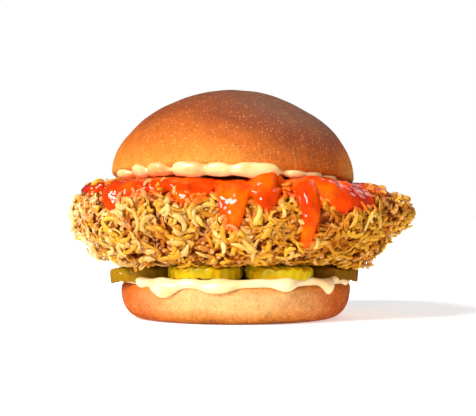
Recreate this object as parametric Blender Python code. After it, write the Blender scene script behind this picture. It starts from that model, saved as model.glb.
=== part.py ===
"""A fried chicken burger, standing on its heel.

From the bottom up: the bun's heel, a cream sauce that runs over its edge, a ring of crinkle-cut
pickle slices, a large craggy fillet, a hot red sauce that drips down the fillet, a second layer of
cream sauce, and the domed crown of the bun. Each layer is one closed solid, and neighbours keep a
small gap. The sauces follow the surface of what carries them, so they are worked out from it.

The origin is the middle of the heel's base, +Z is up, and the side that faces -Y is the front.
"""

import math
import random

import bmesh
import bpy
from mathutils import Matrix, Vector, noise

MM = 0.001
TURN = 2 * math.pi
GOLDEN_ANGLE = math.pi * (3 - math.sqrt(5))
CLOSEST_COLUMNS = math.radians(0.7)

# The heel: a low round with a flat base and a flat cut face.
HEEL_RADIUS = 48.9 * MM
HEEL_HEIGHT = 15.5 * MM
HEEL_BASE_RADIUS = 39.5 * MM
HEEL_WIDEST = 12.0 * MM
HEEL_SHOULDER = 2.6 * MM
HEEL_ROUNDNESS = 2.1
HEEL_PHASE = -0.8

# The crown: a dome on a rolled rim. It leans back, and down to the right.
CROWN_RADIUS = 51.0 * MM
CROWN_DOME = 36.1 * MM
CROWN_ROUNDNESS = 1.86
CROWN_PHASE = 2.1
RIM_WIDTH = 3.0 * MM
RIM_HEIGHT = 2.6 * MM
CROWN_SEAT = Vector((-1.2 * MM, 0, 57.6 * MM))
LEAN_BACK = math.radians(5.2)
LEAN_RIGHT = math.radians(1.9)

# The fillet: its reach to each side, its fullness as a superellipse, how far its lower half is
# drawn in as a share of its reach, and its levels.
FILLET_RIGHT = 70.5 * MM
FILLET_LEFT = 67.0 * MM
FILLET_FRONT = 54.0 * MM
FILLET_BACK = 52.5 * MM
FILLET_OUTLINE = 2.25
FULLNESS_TOP = 3.7
FULLNESS_BOTTOM = 4.4
SLIMMER_RIGHT_TOP = 1.3
SLIMMER_RIGHT_BOTTOM = 0.4
DRAWN_IN = 0.03
DRAWN_IN_ENDS = 0.078
DRAWN_IN_RIGHT = 0.012
FILLET_MIDDLE = 41.5 * MM
FILLET_RISES_RIGHT = 2.0 * MM
FILLET_SINKS_BACK = 1.2 * MM
FILLET_BOTTOM = 24.9 * MM
FILLET_BELOW_CROWN = 4.9 * MM
TIP_RISE = 4.6 * MM
TIP_FROM = 44 * MM
TIP_TO = 58 * MM
LUMP_SIZE = 17 * MM
LUMP_DEPTH = 2.0 * MM
SHARE_POWER = 1.7
FILLET_COLUMNS = 60
FILLET_ROWS = 17

# The pickles: they lean and droop outwards. Then (across, towards the back, radius, turn of the
# ridges) for each slice.
PICKLE_LEVEL = 21.6 * MM
PICKLE_THICKNESS = 3.4 * MM
PICKLE_LEAN = math.radians(2)
PICKLE_DROOP = 1.0 * MM
DROOP_FROM = 34 * MM
DROOP_OVER = 14 * MM
RIDGE_PITCH = 3.9 * MM
RIDGE_DEPTH = 0.45 * MM
PICKLES = {
    "pickle_1": (-38.0 * MM, -13.0 * MM, 14.6 * MM, 8),
    "pickle_2": (-12.4 * MM, -30.4 * MM, 14.6 * MM, -6),
    "pickle_3": (17.4 * MM, -30.8 * MM, 13.6 * MM, 5),
    "pickle_4": (37.8 * MM, -10.6 * MM, 13.4 * MM, -12),
    "pickle_5": (29.5 * MM, 26.0 * MM, 13.6 * MM, 9),
    "pickle_6": (1.0 * MM, 33.0 * MM, 13.8 * MM, -4),
    "pickle_7": (-27.0 * MM, 24.5 * MM, 13.4 * MM, 12),
}

# The coating's crags: how many are drawn, how finely they are cut, and how far they keep off the
# sauce above them, the drips beside them and the pickles below.
CRAG_DRAWS = 204
CRAG_HEIGHTS = (-0.93, 0.7)
CRAG_SIDES = 5
CURL_ROWS = 5
KNOB_ROWS = 3
CRAG_CLEARANCE = 1.4 * MM
BESIDE_DRIP = 4.0 * MM
PICKLE_TOP = 23.6 * MM
PICKLE_REACH = 52.0 * MM

# The sauces: the gap below each, its thickness inside the burger and at its beaded edge, and the
# widest angle between two columns of its mesh. The hot sauce first follows fixed shares of the
# way up the fillet.
CREAM_GAP = 0.6 * MM
CREAM_SLAB = 1.1 * MM
CREAM_COLUMN = math.radians(13.5)
HOT_GAP = 1.5 * MM
HOT_SLAB = 1.0 * MM
HOT_BEAD = 2.3 * MM
HOT_COLUMN = math.radians(9)
HOT_SHARES = [1.0, 0.96, 0.89, 0.82]
LONG_DRIP = 10 * MM


class Run:
    """A run or drip of sauce: its place round the burger, its width and its reach past the edge."""

    def __init__(self, across, back, half_width, reach):
        self.azimuth = math.atan2(back, across)
        self.half_angle = half_width / math.hypot(across, back)
        self.reach = reach
        self.bluntness = 2.3 + 0.55 * reach / half_width

    def columns(self):
        """The azimuths at which a mesh is cut across it: more where it is long and so steep-sided."""
        half = (0.4, 0.78, 1.0, 1.25) if self.reach > LONG_DRIP else (0.45, 1.15)
        return [(self.azimuth + self.half_angle * step * side) % TURN for step in half for side in (-1, 1)]

    def share(self, azimuth):
        """How much of the run's reach there is at an azimuth: 1 along its middle, 0 beside it."""
        away = math.remainder(azimuth - self.azimuth, TURN) / self.half_angle
        return math.exp(-abs(away) ** self.bluntness)


def runs(rows):
    return [Run(*(value * MM for value in row)) for row in rows]


# Each run: across, towards the back, half its width and its reach, in millimetres.
HOT_DRIPS = runs([
    (-43.1, -39.0, 5.0, 6.4), (-17.0, -52.5, 6.4, 3.0), (-1.4, -55.0, 5.2, 14.2),
    (11.7, -54.0, 4.8, 5.4), (28.0, -50.0, 3.4, 20.0), (41.5, -40.0, 8.5, 5.2),
    (63.0, 16.0, 4.5, 2.5), (38.0, 42.0, 5.0, 6.0), (12.0, 52.0, 4.0, 12.0),
    (-14.0, 51.0, 5.4, 5.5), (-40.0, 40.0, 4.4, 10.0), (-63.0, 14.0, 4.6, 3.0),
])
LOWER_RUNS = runs([
    (-37.5, -30.0, 3.2, 1.4), (-28.2, -39.0, 6.0, 5.6), (-7.5, -48.0, 6.6, 2.4),
    (19.7, -45.0, 4.8, 2.4), (36.8, -32.0, 3.0, 4.4), (47.0, 14.0, 4.5, 2.5),
    (24.0, 42.0, 6.0, 4.5), (-12.0, 47.0, 7.0, 2.6), (-40.0, 28.0, 5.0, 5.0),
])
UPPER_RUNS = runs([
    (-39.5, -31.0, 3.0, 1.4), (-31.0, -38.0, 4.2, 2.0), (-18.0, -46.5, 6.6, 3.6),
    (-5.6, -49.5, 5.0, 2.8), (9.3, -49.0, 9.0, 3.0), (38.0, -34.0, 6.0, 0.6),
    (44.0, 26.0, 6.0, 1.8), (16.0, 48.0, 7.5, 2.8), (-10.0, 50.0, 5.5, 1.6),
    (-38.0, 34.0, 7.0, 2.4),
])

MATERIALS = {
    "bun_crust": ((0.62, 0.26, 0.07), 0.45),
    "cream_sauce": ((0.95, 0.86, 0.62), 0.30),
    "hot_sauce": ((0.90, 0.11, 0.01), 0.15),
    "fried_coating": ((0.72, 0.42, 0.10), 0.55),
    "pickle": ((0.55, 0.45, 0.03), 0.30),
}


def clear_scene():
    for obj in list(bpy.data.objects):
        bpy.data.objects.remove(obj)


def material(name):
    """The named finish as a Principled BSDF."""
    made = bpy.data.materials.get(name)
    if made is None:
        colour, roughness = MATERIALS[name]
        made = bpy.data.materials.new(name)
        made.use_nodes = True
        shader = made.node_tree.nodes["Principled BSDF"]
        shader.inputs["Base Color"].default_value = (*colour, 1)
        shader.inputs["Roughness"].default_value = roughness
        shader.inputs["Metallic"].default_value = 0
    return made


def add_object(name, shape, finish):
    """Puts a bmesh into the scene as a named object with smooth shading."""
    shape.normal_update()
    bmesh.ops.recalc_face_normals(shape, faces=shape.faces)
    mesh = bpy.data.meshes.new(name)
    shape.to_mesh(mesh)
    shape.free()
    mesh.shade_smooth()
    obj = bpy.data.objects.new(name, mesh)
    bpy.context.scene.collection.objects.link(obj)
    obj.data.materials.append(material(finish))
    return obj


def ring_shape(azimuths, rows, place):
    """A closed shape of rings between two poles: a UV sphere whose points go where place says.

    place(azimuth, row) gives a point, with row 0 and row rows at the poles.
    """
    shape = bmesh.new()
    columns = len(azimuths)
    bmesh.ops.create_uvsphere(shape, u_segments=columns, v_segments=rows, radius=1)
    for vertex in shape.verts:
        row = round(math.acos(max(-1, min(1, vertex.co.z))) * rows / math.pi)
        column = round(math.atan2(vertex.co.y, vertex.co.x) * columns / TURN)
        vertex.co = place(azimuths[column % columns], row)
    return shape


def even_azimuths(count):
    return [TURN * step / count for step in range(count)]


def azimuths_for(drips, widest):
    """The columns of each drip, and enough between them that no gap passes widest."""
    found = sorted(azimuth for drip in drips for azimuth in drip.columns())
    marks = [a for i, a in enumerate(found) if i == 0 or a - found[i - 1] > CLOSEST_COLUMNS]
    azimuths = []
    for mark, following in zip(marks, marks[1:] + [marks[0] + TURN]):
        steps = math.ceil((following - mark) / widest)
        azimuths += [mark + (following - mark) * step / steps for step in range(steps)]
    return azimuths


def polar(radius, azimuth, height):
    return Vector((radius * math.cos(azimuth), radius * math.sin(azimuth), height))


def smooth_step(low, high, value):
    share = max(0.0, min(1.0, (value - low) / (high - low)))
    return share * share * (3 - 2 * share)


def superellipse(angle, power):
    """Cosine and sine of an angle, squared off: a power over 2 makes fuller corners."""
    cosine, sine = math.cos(angle), math.sin(angle)
    return (
        math.copysign(abs(cosine) ** (2 / power), cosine),
        math.copysign(abs(sine) ** (2 / power), sine),
    )


def bun_wobble(azimuth, phase):
    """A hand-shaped bun isn't a true circle."""
    return 1 + 0.007 * math.sin(2 * azimuth + phase) + 0.005 * math.sin(3 * azimuth + 2.3 * phase)


# The heel's surface runs from 0 in the middle of the cut face, by 1 at the shoulder, 2 at the
# shoulder's foot and 3 at the base's edge, to 4 in the middle of the base.
def heel_surface(azimuth, along):
    face_radius = HEEL_RADIUS - HEEL_SHOULDER
    side_top = HEEL_HEIGHT - HEEL_SHOULDER
    if along <= 1:
        radius, height = face_radius * along, HEEL_HEIGHT
    elif along <= 2:
        turn = (along - 1) * math.pi / 2
        radius = face_radius + HEEL_SHOULDER * math.sin(turn)
        height = side_top + HEEL_SHOULDER * math.cos(turn)
    elif along <= 3:
        height = side_top * (1 - math.sin((along - 2) * math.pi / 2)) if along < 3 else 0.0
        drop = max(0.0, 1 - height / HEEL_WIDEST)
        bulge = (1 - drop**HEEL_ROUNDNESS) ** (1 / HEEL_ROUNDNESS)
        radius = HEEL_BASE_RADIUS + (HEEL_RADIUS - HEEL_BASE_RADIUS) * bulge
    else:
        radius, height = HEEL_BASE_RADIUS * (4 - along), 0.0
    return polar(radius * bun_wobble(azimuth, HEEL_PHASE), azimuth, height)


CROWN_PLACE = (
    Matrix.Translation(CROWN_SEAT)
    @ Matrix.Rotation(LEAN_RIGHT, 4, "Y")
    @ Matrix.Rotation(-LEAN_BACK, 4, "X")
)


# The crown's surface runs from 0 in the middle of its cut face, by 1 at the rim's inner edge and
# 2 at the crown's widest, to 3 on top of the dome. It is given as the crown lies before it leans.
def crown_surface(azimuth, along):
    face_radius = CROWN_RADIUS - RIM_WIDTH
    if along <= 1:
        radius, height = face_radius * along, 0.0
    elif along <= 2:
        turn = (along - 1) * math.pi / 2
        radius = face_radius + RIM_WIDTH * math.sin(turn)
        height = RIM_HEIGHT * (1 - math.cos(turn))
    else:
        across, up = superellipse((along - 2) * math.pi / 2, CROWN_ROUNDNESS)
        radius = CROWN_RADIUS * max(0.0, across if along < 3 else 0.0)
        height = RIM_HEIGHT + CROWN_DOME * up
    return polar(radius * bun_wobble(azimuth, CROWN_PHASE), azimuth, height)


def crown_underside(x, y):
    """How high the crown's cut face is over a place, in the burger's own frame."""
    point, up = CROWN_PLACE @ Vector((0, 0, 0)), CROWN_PLACE.to_3x3() @ Vector((0, 0, 1))
    return point.z - (up.x * (x - point.x) + up.y * (y - point.y)) / up.z


def fillet_reach(azimuth):
    """The fillet's outline seen from above."""
    across, back = math.cos(azimuth), math.sin(azimuth)
    reach_x = FILLET_RIGHT if across > 0 else FILLET_LEFT
    reach_y = FILLET_BACK if back > 0 else FILLET_FRONT
    squared = (abs(across) / reach_x) ** FILLET_OUTLINE + (abs(back) / reach_y) ** FILLET_OUTLINE
    waves = 1 + 0.018 * math.sin(5 * azimuth + 0.6) + 0.012 * math.sin(8 * azimuth + 2.0)
    return waves * squared ** (-1 / FILLET_OUTLINE)


# The fillet's surface is given by its azimuth and a share of the way up: 1 on top, 0 round its
# widest and -1 underneath. The power spreads the shares evenly over its steep sides.
def fillet_surface(azimuth, share):
    right, back = math.cos(azimuth), math.sin(azimuth)
    if share > 0:
        fullness = FULLNESS_TOP - SLIMMER_RIGHT_TOP * right
    else:
        fullness = FULLNESS_BOTTOM - SLIMMER_RIGHT_BOTTOM * right
    level = math.copysign(math.asin(abs(share) ** SHARE_POWER), share)
    across, up = superellipse(level, fullness)
    drawn_in = DRAWN_IN + DRAWN_IN_ENDS * right**2 + DRAWN_IN_RIGHT * right * abs(right)
    radius = fillet_reach(azimuth) * max(0.0, across) * (1 - drawn_in * smooth_step(0.05, 0.5, -up))
    place = polar(radius, azimuth, 0)
    middle = FILLET_MIDDLE + FILLET_RISES_RIGHT * right - FILLET_SINKS_BACK * back
    top = crown_underside(place.x, place.y) - FILLET_BELOW_CROWN
    top += TIP_RISE * smooth_step(TIP_FROM, TIP_TO, place.x)
    place.z = middle + up * ((top - middle) if share > 0 else (middle - FILLET_BOTTOM))
    bare = smooth_step(35 * MM, 52 * MM, radius)
    lump = noise.noise(place / LUMP_SIZE + Vector((3.1, 0, 5.7))) * LUMP_DEPTH * bare
    return place + lump * Vector((right * across, back * across, up))


def normal_of(surface, azimuth, along):
    """The outward normal of a surface, from points close by."""
    turn, step = 2e-3, 2e-3
    round_it = surface(azimuth + turn, along) - surface(azimuth - turn, along)
    down_it = surface(azimuth, along + step) - surface(azimuth, along - step)
    return round_it.cross(down_it).normalized()


def coat(azimuths, surface, stations, edge, lift, gap, outward, pole_normal):
    """A sauce that lies on a surface: up to its edge it stands lift thick, a gap away.

    stations(edge) gives the places along the surface from its middle to the edge, and lift(azimuth,
    share) the thickness at each, which is nothing at the edge.
    """
    count = len(stations(1.0)) - 1

    def place(azimuth, row):
        steps = stations(edge(azimuth))
        upper = row <= count
        index = row if upper else 2 * count - row
        along = steps[index]
        if index == 0:
            normal = Vector(pole_normal)
        else:
            normal = normal_of(surface, azimuth, along) * outward
        thickness = lift(azimuth, index / count) if upper else 0.0
        return surface(azimuth, along) + normal * (gap + thickness)

    return ring_shape(azimuths, 2 * count, place)


def rounded_edge(share, start):
    """1 up to start, then falling to 0 as a quarter circle does."""
    past = max(0.0, (share - start) / (1 - start))
    return math.sqrt(max(0.0, 1 - past * past))


def build_heel():
    stations = [0, 1, 1.35, 1.7, 2, 2.15, 2.35, 2.55, 2.75, 3, 4]
    rows = len(stations) - 1
    shape = ring_shape(even_azimuths(36), rows, lambda azimuth, row: heel_surface(azimuth, stations[row]))
    return add_object("bun_heel", shape, "bun_crust")


def build_crown():
    stations = [0, 1, 1.33, 1.67, 2, 2.15, 2.3, 2.45, 2.6, 2.74, 2.88, 3]
    rows = len(stations) - 1
    shape = ring_shape(even_azimuths(40), rows, lambda azimuth, row: crown_surface(azimuth, stations[row]))
    crown = add_object("bun_crown", shape, "bun_crust")
    crown.matrix_world = CROWN_PLACE
    return crown


def build_lower_cream():
    shoulder = HEEL_SHOULDER * math.pi / 2
    side = 25 * MM

    def edge(azimuth):
        drips = sum(run.share(azimuth) * run.reach for run in LOWER_RUNS)
        reach = shoulder * (0.45 + 0.12 * math.sin(3 * azimuth + 1.0)) + drips
        return 1 + min(1.0, reach / shoulder) + max(0.0, reach - shoulder) / side

    def stations(end):
        return [0, 0.95] + [1 + (end - 1) * step / 4 for step in range(5)]

    def lift(azimuth, share):
        bead = 1.5 * MM + 0.9 * MM * min(1.0, sum(run.share(azimuth) for run in LOWER_RUNS))
        rise = smooth_step(0.3, 0.7, share)
        return (CREAM_SLAB * (1 - rise) + bead * rise) * rounded_edge(share, 0.62)

    columns = azimuths_for(LOWER_RUNS, CREAM_COLUMN)
    shape = coat(columns, heel_surface, stations, edge, lift, CREAM_GAP, -1, (0, 0, 1))
    return add_object("cream_lower", shape, "cream_sauce")


def build_upper_cream():
    rim = RIM_WIDTH * 1.2

    def edge(azimuth):
        drips = sum(run.share(azimuth) * run.reach for run in UPPER_RUNS)
        reach = rim * (0.1 + 0.05 * math.sin(4 * azimuth + 0.4)) + drips
        return 1 + min(0.94, reach / rim)

    def stations(end):
        return [0, 0.9] + [0.97 + (end - 0.97) * step / 4 for step in range(5)]

    def lift(azimuth, share):
        fat = sum(run.share(azimuth) * run.reach for run in UPPER_RUNS)
        bead = 1.1 * MM + 0.75 * min(fat, 2.6 * MM)
        rise = smooth_step(0.28, 0.62, share)
        return (CREAM_SLAB * (1 - rise) + bead * rise) * rounded_edge(share, 0.6)

    columns = azimuths_for(UPPER_RUNS, CREAM_COLUMN)
    shape = coat(columns, crown_surface, stations, edge, lift, CREAM_GAP, 1, (0, 0, -1))
    cream = add_object("cream_upper", shape, "cream_sauce")
    cream.matrix_world = CROWN_PLACE
    return cream


def share_at(azimuth, height):
    """The share of the way up at which the fillet's surface passes a height, found by halving."""
    low, high = -0.99, 0.99
    for _ in range(24):
        middle = (low + high) / 2
        if fillet_surface(azimuth, middle).z < height:
            low = middle
        else:
            high = middle
    return (low + high) / 2


def hot_edge_height(azimuth):
    """How low the hot sauce comes at an azimuth."""
    side = abs(math.cos(azimuth))
    sheet = 50.6 * MM + 1.2 * MM * side**4 + 0.6 * MM * math.sin(7 * azimuth + 1.2)
    sheet -= 3.4 * MM * max(0.0, math.sin(azimuth))
    return sheet - sum(drip.share(azimuth) * drip.reach for drip in HOT_DRIPS)


def build_hot_sauce():
    def stations(end):
        last = HOT_SHARES[-1]
        return HOT_SHARES + [last + (end - last) * step / 4 for step in range(1, 5)]

    def lift(azimuth, share):
        drip = min(1.0, sum(run.share(azimuth) for run in HOT_DRIPS))
        bead = HOT_BEAD * (0.62 + 0.5 * drip)
        rise = smooth_step(0.4, 0.85, share)
        return (HOT_SLAB * (1 - rise) + bead * rise) * rounded_edge(share, 0.74)

    def edge(azimuth):
        return share_at(azimuth, hot_edge_height(azimuth))

    columns = azimuths_for(HOT_DRIPS, HOT_COLUMN)
    shape = coat(columns, fillet_surface, stations, edge, lift, HOT_GAP, 1, (0, 0, 1))
    return add_object("hot_sauce", shape, "hot_sauce")


def build_pickle(name, across, back, radius, turn):
    """A slice cut with a crinkle blade: a round plate, ridged along the way out of the burger."""
    shape = bmesh.new()
    bmesh.ops.create_circle(shape, cap_ends=True, segments=20, radius=radius)
    for vertex in shape.verts:
        azimuth = math.atan2(vertex.co.y, vertex.co.x)
        vertex.co *= 1 + 0.02 * math.sin(2 * azimuth + turn) + 0.012 * math.sin(5 * azimuth + turn)
    half_ridges = int(radius * 2 / RIDGE_PITCH)
    for step in range(-half_ridges, half_ridges + 1):
        geometry = shape.verts[:] + shape.edges[:] + shape.faces[:]
        cut = (step * RIDGE_PITCH / 2, 0, 0)
        bmesh.ops.bisect_plane(shape, geom=geometry, dist=1e-5, plane_co=cut, plane_no=(1, 0, 0))
    for vertex in shape.verts:
        phase = vertex.co.x / RIDGE_PITCH
        vertex.co.z = RIDGE_DEPTH * (4 * abs(phase - math.floor(phase + 0.5)) - 1)
    place = (
        Matrix.Translation((across, back, PICKLE_LEVEL))
        @ Matrix.Rotation(math.atan2(back, across), 4, "Z")
        @ Matrix.Rotation(PICKLE_LEAN, 4, "Y")
        @ Matrix.Rotation(math.radians(90 + turn), 4, "Z")
    )
    for vertex in shape.verts:
        vertex.co = place @ vertex.co
        overhang = max(0.0, math.hypot(vertex.co.x, vertex.co.y) - DROOP_FROM) / DROOP_OVER
        vertex.co.z -= PICKLE_DROOP * overhang**2
    pickle = add_object(name, shape, "pickle")
    wall = pickle.modifiers.new("thickness", "SOLIDIFY")
    wall.thickness = PICKLE_THICKNESS
    wall.offset = 0
    return pickle


def curl_shape(place, radius, start, sweep, thickness):
    """A shred of batter: a tapered rod that follows an arc."""

    def point(azimuth, row):
        share = row / CURL_ROWS
        angle = start + sweep * share
        girth = thickness * math.sin(math.pi * share) ** 0.4 if 0 < row < CURL_ROWS else 0
        out = radius + girth * math.cos(azimuth)
        across = girth * math.sin(azimuth)
        return place @ Vector((out * math.cos(angle), across, out * math.sin(angle)))

    return ring_shape(even_azimuths(CRAG_SIDES), CURL_ROWS, point)


def knob_shape(place, radius, stretch):
    """A bead of batter: a small rough ball."""

    def point(azimuth, row):
        tilt = math.pi * row / KNOB_ROWS
        girth = radius * math.sin(tilt)
        along, across = girth * math.cos(azimuth) * stretch, girth * math.sin(azimuth)
        return place @ Vector((along, across, radius * math.cos(tilt)))

    return ring_shape(even_azimuths(CRAG_SIDES), KNOB_ROWS, point)


def crag_is_clear(shape):
    """Whether a crag keeps off the hot sauce and the pickles."""
    for vertex in shape.verts:
        point = vertex.co
        azimuth = math.atan2(point.y, point.x)
        radius = math.hypot(point.x, point.y)
        beside = BESIDE_DRIP / radius
        sauce = min(hot_edge_height(azimuth + step * beside) for step in (-1, -0.5, 0, 0.5, 1))
        if point.z > sauce - CRAG_CLEARANCE:
            return False
        if point.z < PICKLE_TOP + CRAG_CLEARANCE / 2 and radius < PICKLE_REACH:
            return False
    return True


def build_crags(collection):
    """Shreds and beads of batter, spread over the fillet's sides by a golden-angle walk."""
    draw = random.Random(7)
    for count in range(CRAG_DRAWS):
        azimuth = count * GOLDEN_ANGLE
        share = draw.uniform(*CRAG_HEIGHTS)
        normal = normal_of(fillet_surface, azimuth, share)
        base = fillet_surface(azimuth, share)
        along = normal.orthogonal().normalized()
        along.rotate(Matrix.Rotation(draw.uniform(0, TURN), 3, normal))
        frame = Matrix((along, normal.cross(along), normal)).transposed().to_4x4()
        frame.translation = base + normal * 0.2 * MM
        if count % 2:
            radius = draw.uniform(2.0, 3.3) * MM
            start = math.radians(draw.uniform(-38, -25))
            sweep = math.radians(draw.uniform(150, 225))
            shape = curl_shape(frame, radius, start, sweep, draw.uniform(0.8, 1.15) * MM)
        else:
            shape = knob_shape(frame, draw.uniform(1.3, 2.3) * MM, draw.uniform(1.0, 1.5))
        if not crag_is_clear(shape):
            shape.free()
            continue
        crag = add_object(f"crag_{count}", shape, "fried_coating")
        bpy.context.scene.collection.objects.unlink(crag)
        collection.objects.link(crag)


def build_fillet():
    def place(azimuth, row):
        return fillet_surface(azimuth, 1 - 2 * row / FILLET_ROWS)

    core = ring_shape(even_azimuths(FILLET_COLUMNS), FILLET_ROWS, place)
    fillet = add_object("chicken_fillet", core, "fried_coating")
    crags = bpy.data.collections.new("crags")
    bpy.context.scene.collection.children.link(crags)
    build_crags(crags)
    join = fillet.modifiers.new("crags", "BOOLEAN")
    join.operation = "UNION"
    join.operand_type = "COLLECTION"
    join.collection = crags
    join.solver = "MANIFOLD"
    bpy.context.view_layer.objects.active = fillet
    bpy.ops.object.modifier_apply(modifier=join.name)
    for crag in list(crags.objects):
        bpy.data.objects.remove(crag)
    bpy.data.collections.remove(crags)
    return fillet


def main():
    clear_scene()
    build_heel()
    build_lower_cream()
    for name, measures in PICKLES.items():
        build_pickle(name, *measures)
    build_fillet()
    build_hot_sauce()
    build_upper_cream()
    build_crown()


main()
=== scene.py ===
"""Dresses a fried chicken burger for a studio picture.

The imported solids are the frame. Each of them is replaced by finished pieces of the same form: two
halves of a glazed milk bun, two layers of garlic cream, crinkle-cut gherkin slices, a fillet in a
coat of loose batter shreds, and a chilli glaze that runs down the fillet.

Lengths are in metres. The front of the burger faces -Y, and it stands on the heel of its bun at z = 0.
"""

import logging
import math
from collections.abc import Callable, Sequence
from dataclasses import dataclass
from enum import Enum
from functools import partial

import bpy
import numpy as np
from mathutils import Matrix, Vector, noise


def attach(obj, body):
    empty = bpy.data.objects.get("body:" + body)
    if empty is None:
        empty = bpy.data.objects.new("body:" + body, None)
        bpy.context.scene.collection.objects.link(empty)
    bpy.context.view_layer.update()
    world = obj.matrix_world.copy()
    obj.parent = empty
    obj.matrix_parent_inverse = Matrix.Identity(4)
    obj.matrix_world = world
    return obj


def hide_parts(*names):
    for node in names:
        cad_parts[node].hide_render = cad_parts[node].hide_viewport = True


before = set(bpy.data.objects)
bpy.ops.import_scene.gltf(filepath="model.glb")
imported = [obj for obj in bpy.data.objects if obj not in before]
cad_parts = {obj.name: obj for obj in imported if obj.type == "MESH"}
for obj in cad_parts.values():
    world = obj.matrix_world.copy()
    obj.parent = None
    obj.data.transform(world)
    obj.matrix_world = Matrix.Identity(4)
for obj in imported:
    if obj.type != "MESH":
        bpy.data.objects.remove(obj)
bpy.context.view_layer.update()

log = logging.getLogger("burger")

MM = 0.001
TURN = 2 * math.pi
GOLDEN_SHARE = (math.sqrt(5) - 1) / 2
BODY = "root"
Array = np.ndarray
Piece = bpy.types.Object
Material = bpy.types.Material
Span = tuple[float, float]
Vector3 = tuple[float, float, float]
Stops = tuple[tuple[float, str], ...]
Surface = Callable[[Array, Array], Array]
Socket = bpy.types.NodeSocket
Source = bpy.types.NodeSocket | bpy.types.Node
Painted = tuple[Source | None, Source | None, Source | None]
Adder = Callable[..., bpy.types.Node]


class Slot(Enum):
    """The record's material slots."""

    CRUST = "bun_crust"
    CREAM = "cream_sauce"
    GLAZE = "hot_sauce"
    BATTER = "fried_coating"
    GHERKIN = "pickle"


# Shared mathematics of the shapes


def smooth_step(low: float, high: float, value: Array | float) -> Array:
    """Rises smoothly from 0 at low to 1 at high.

    Args:
        low: where the rise starts.
        high: where it ends.
        value: one value or many.

    Returns:
        The share for each value.
    """
    share = np.clip((np.asarray(value, float) - low) / (high - low), 0.0, 1.0)
    return share * share * (3 - 2 * share)


def squared_circle(angle: Array, power: Array | float) -> tuple[Array, Array]:
    """Cosine and sine of an angle on a superellipse.

    Args:
        angle: the angle in radians.
        power: 2 gives a circle, more gives fuller corners.

    Returns:
        The cosine and the sine.
    """
    cosine, sine = np.cos(angle), np.sin(angle)
    return (np.sign(cosine) * np.abs(cosine) ** (2 / power), np.sign(sine) * np.abs(sine) ** (2 / power))


def soft_noise(points: Array, size: float, offset: Vector3) -> Array:
    """Smooth noise at points.

    Args:
        points: places, with the three coordinates last.
        size: how far apart the noise's features lie.
        offset: moves the pattern, so that two uses of it differ.

    Returns:
        A value for each point, from about -1 to 1.
    """
    flat = (points.reshape(-1, 3) / size + np.array(offset)).tolist()
    return np.array([noise.noise(place) for place in flat]).reshape(points.shape[:-1])


def polar(radius: Array, azimuth: Array, height: Array) -> Array:
    """Points from a radius, an azimuth and a height, which may be arrays of one shape."""
    return np.stack(
        np.broadcast_arrays(radius * np.cos(azimuth), radius * np.sin(azimuth), height), axis=-1
    ).astype(float)


def bun_wobble(azimuth: Array, phase: float) -> Array:
    """How far a hand-shaped bun is from a true circle, as a factor on its radius."""
    return 1 + 0.007 * np.sin(2 * azimuth + phase) + 0.005 * np.sin(3 * azimuth + 2.3 * phase)


def normals_of(surface: Surface, azimuth: Array, along: Array) -> Array:
    """Unit normals of a surface, from points close by.

    Args:
        surface: gives points from an azimuth and a place along the surface.
        azimuth: the azimuths.
        along: the places along it.

    Returns:
        The cross product of the ways round and along, normalised.
    """
    step = 2e-3
    round_it = surface(azimuth + step, along) - surface(azimuth - step, along)
    along_it = surface(azimuth, along + step) - surface(azimuth, along - step)
    normal = np.cross(round_it, along_it)
    return normal / np.maximum(np.linalg.norm(normal, axis=-1, keepdims=True), 1e-15)


# Shared mesh and object work


def only(piece: Piece) -> None:
    """Makes one object the only one that is selected, and the active one."""
    bpy.ops.object.select_all(action="DESELECT")
    piece.select_set(True)
    bpy.context.view_layer.objects.active = piece


def apply_modifier(piece: Piece, kind: str, **settings: object) -> None:
    """Adds a modifier to a piece and applies it.

    Args:
        piece: the object.
        kind: the modifier's type.
        settings: its properties.
    """
    only(piece)
    modifier = piece.modifiers.new(kind.lower(), kind)
    for name, value in settings.items():
        setattr(modifier, name, value)
    bpy.ops.object.modifier_apply(modifier=modifier.name)


def coordinates(piece: Piece) -> Array:
    """The places of a piece's vertices, one row for each."""
    places = np.empty(len(piece.data.vertices) * 3)
    piece.data.vertices.foreach_get("co", places)
    return places.reshape(-1, 3)


def move_vertices(piece: Piece, places: Array) -> None:
    """Puts a piece's vertices at new places."""
    piece.data.vertices.foreach_set("co", places.astype(np.float32).ravel())
    piece.data.update()


def store(piece: Piece, name: str, values: Array) -> None:
    """Keeps one number for each vertex, for a material to read."""
    attribute = piece.data.attributes.new(name, "FLOAT", "POINT")
    attribute.data.foreach_set("value", values.astype(np.float32).ravel())


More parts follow.
